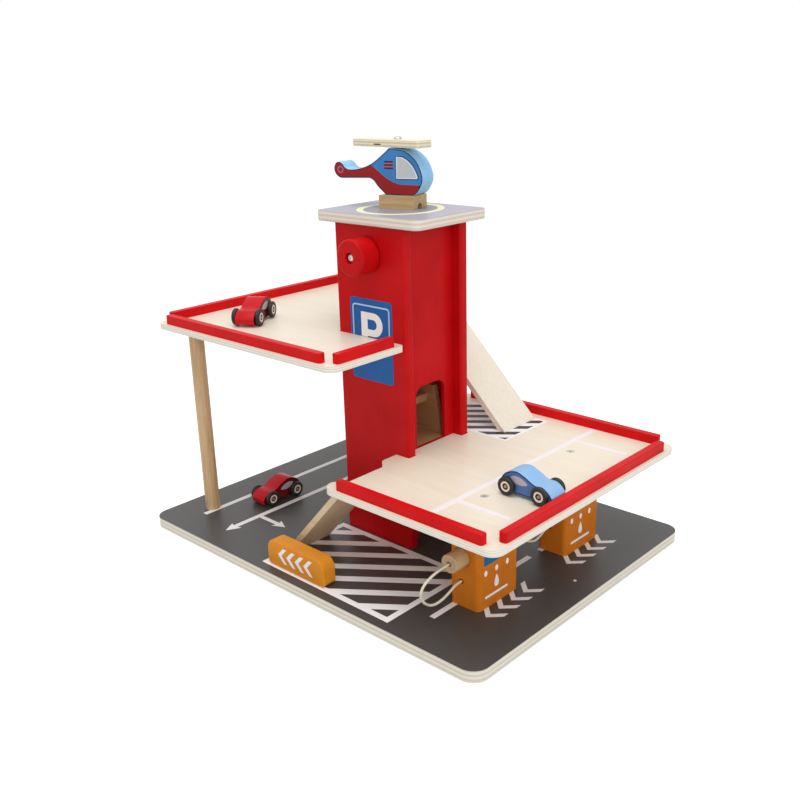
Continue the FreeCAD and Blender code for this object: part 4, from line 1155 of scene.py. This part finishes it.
# %% [markdown]
# Screws are zinc-plated steel with a cross recess. One screw is turned, its recess is cut
# with a Boolean, and a tree sets copies on the points where the screws go.

# %% Screws
zinc, tree = new_finish("zinc plate", 0.35)
cloud = noise(tree, own_place(tree), 700.0, 2.0)
colour = mix_colour(tree, cloud, screen_colour(176, 176, 172), screen_colour(226, 226, 220))
surface(tree, colour, cloud, 0.03, Metallic=1.0,
        Roughness=calc(tree, "MULTIPLY_ADD", cloud, 0.25, 0.25))


def cross_arm(top, depth, degrees):
    """One arm of a cross with sloping ends, which cuts a recess down from a head."""
    cutter = bmesh.new()
    bmesh.ops.create_cube(cutter, size=1.0)
    for corner in cutter.verts:
        high = corner.co.z > 0
        length, width, level = (4.0, 0.9, top + 0.5) if high else (1.4, 0.63, top - depth)
        corner.co = metres((corner.co.x * length, corner.co.y * width, level))
    mesh = mesh_of(cutter)
    mesh.transform(turn_about("Z", degrees))
    return mesh


def screw_mesh(section, top, depth):
    """A turned screw that stands along Z, with a cross cut down from its top."""
    mesh = turned_mesh(section, 32, False)
    mesh.transform(turn_about("X", -90))
    for degrees in (0, 90):
        tool = in_scene("tool", cross_arm(top, depth, degrees))
        mesh = mesh_from(mesh, "BOOLEAN", operation="DIFFERENCE", solver="EXACT", object=tool)
        bpy.data.objects.remove(tool)
    return smooth(welded(mesh), 30)


spots, asked, given = shape_group("pieces on points", {"Screw": "Object"})
info = node(spots, "ObjectInfo", {"Object": asked["Screw"]})
copies = node(spots, "InstanceOnPoints",
              {"Points": asked["Piece"], "Instance": info.outputs["Geometry"]})
end_tree(spots, copies, asked, given)


def screws_on(name, points, screw, body, stands_for):
    """Copies of a screw on points in mm."""
    seats = bpy.data.meshes.new("seats")
    seats.from_pydata([metres(point) for point in points], [], [])
    model = in_scene("screw model", screw)
    made = run_tree(spots, seats, {"Screw": model, "Finish": zinc})
    bpy.data.objects.remove(model)
    piece_of(name, made, [zinc], body, stands_for)


deck_section = [(0, 0), (3.85, 0), (4.0, 0.12), (4.0, 0.2), (2.0, 2.1), (2.0, 20), (0, 21)]
deck_screw = screw_mesh(deck_section, 0, 1.6)
POST_SPOTS = [(-194, -116), (-194, 116)]
screws_on("lower_deck_screw_set", [(156.5, -67, 110.7), (156.5, 70, 110.7)], deck_screw,
          "root", "lower_deck_screws")
screws_on("upper_deck_screw_set", [(x, y, 225.7) for x, y in POST_SPOTS], deck_screw, "root",
          "upper_deck_screws")
base_screw = screw_mesh(deck_section[:-2] + [(2.0, 27), (0, 28)], 0, 1.6)
base_screw.transform(turn_about("X", 180))
BASE_SPOTS = POST_SPOTS + [
    (-28.75, -149.5), (19.25, -149.5), (-28, -40.5), (28, -40.5), (-28, 40.5), (28, 40.5),
    (156.5, -85), (156.5, -49), (156.5, 52), (156.5, 88)]
screws_on("base_screw_set", [(x, y, 0.3) for x, y in BASE_SPOTS], base_screw, "root", "base_screws")
pan_section = [(0, 2.6), (1.6, 2.5), (2.9, 2.1), (3.7, 1.4), (4.0, 0.6), (4.0, 0), (2.0, 0)]
PAN_HEIGHT = 2.6
knob_screw = screw_mesh([(r, -z) for r, z in pan_section] + [(2.0, 17), (0, 18)], 2.5, 1.5)
knob_screw.transform(turn_about("X", 90))
box_low, box_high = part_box("knob_screw")
screws_on("knob_screw_steel", [(-1.5, box_low.y / MM + PAN_HEIGHT, 307.5)], knob_screw,
          "winder", "knob_screw")
rotor_screw = screw_mesh([(r, -z) for r, z in pan_section] + [(2.0, 21), (0, 22)], 2.5, 1.5)
box_low, box_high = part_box("rotor_screw")
rotor_x, rotor_y = (box_low.x + box_high.x) / 2 / MM, (box_low.y + box_high.y) / 2 / MM
screws_on("rotor_screw_steel", [(rotor_x, rotor_y, box_high.z / MM - PAN_HEIGHT)], rotor_screw,
          "helicopter", "rotor_screw")

# %% [markdown]
# The floor and the light finish the picture. A white world gives soft light from all
# sides, a large lamp above gives the toy its shadows, and Light Path keeps the background
# white for the camera and for what mirrors it.

# %% Floor, world and lamps
REACH = 6.0
WHITE = (1, 1, 1, 1)


def empty_tree(owner):
    """The emptied node tree of a material or a world."""
    owner.use_nodes = True
    owner.node_tree.nodes.clear()
    return owner.node_tree


def seen_plainly(tree):
    """1 for rays from the camera, from mirrors and through glass, and 0 for lighting."""
    path = node(tree, "LightPath").outputs
    seen = calc(tree, "MAXIMUM", path["Is Camera Ray"], path["Is Glossy Ray"])
    return calc(tree, "MAXIMUM", seen, path["Is Transmission Ray"])


floor_mesh = bpy.data.meshes.new("floor")
floor_mesh.from_pydata([(-REACH, -REACH, 0), (REACH, -REACH, 0), (REACH, REACH, 0),
                        (-REACH, REACH, 0)], [], [(0, 1, 2, 3)])
floor = in_scene("floor", floor_mesh)
floor.location.z = -0.0004
paper = bpy.data.materials.new("white paper")
tree = empty_tree(paper)
matt = node(tree, "BsdfDiffuse", {0: (0.8, 0.8, 0.8, 1)}).outputs[0]
glow = node(tree, "Emission", {0: WHITE, 1: 0.53}).outputs[0]
both = node(tree, "AddShader", {0: matt, 1: glow}).outputs[0]
chosen = node(tree, "MixShader", {0: seen_plainly(tree), 1: matt, 2: both})
node(tree, "OutputMaterial", {0: chosen.outputs[0]})
floor_mesh.materials.append(paper)

world = bpy.data.worlds.new("studio")
bpy.context.scene.world = world
tree = empty_tree(world)
ambient = node(tree, "Background", {0: WHITE, 1: 0.62}).outputs[0]
backdrop = node(tree, "Background", {0: WHITE, 1: 1.0}).outputs[0]
chosen = node(tree, "MixShader", {0: seen_plainly(tree), 1: ambient, 2: backdrop})
node(tree, "OutputWorld", {0: chosen.outputs[0]})


def lamp(name, place, aim, size, power):
    """A square soft lamp that looks at a point."""
    data = bpy.data.lights.new(name, "AREA")
    data.shape = "SQUARE"
    data.size = size
    data.energy = power
    thing = in_scene(name, data)
    thing.location = place
    thing.rotation_mode = "QUATERNION"
    thing.rotation_quaternion = (Vector(aim) - Vector(place)).to_track_quat("-Z", "Y")


lamp("overhead", (0.1, -0.3, 1.9), (0, 0, 0.1), 1.2, 15)
lamp("right", (1.9, -1.0, 1.0), (0, 0, 0.15), 1.0, 11)
bpy.context.scene.view_settings.view_transform = "Standard"
print("stage is set")
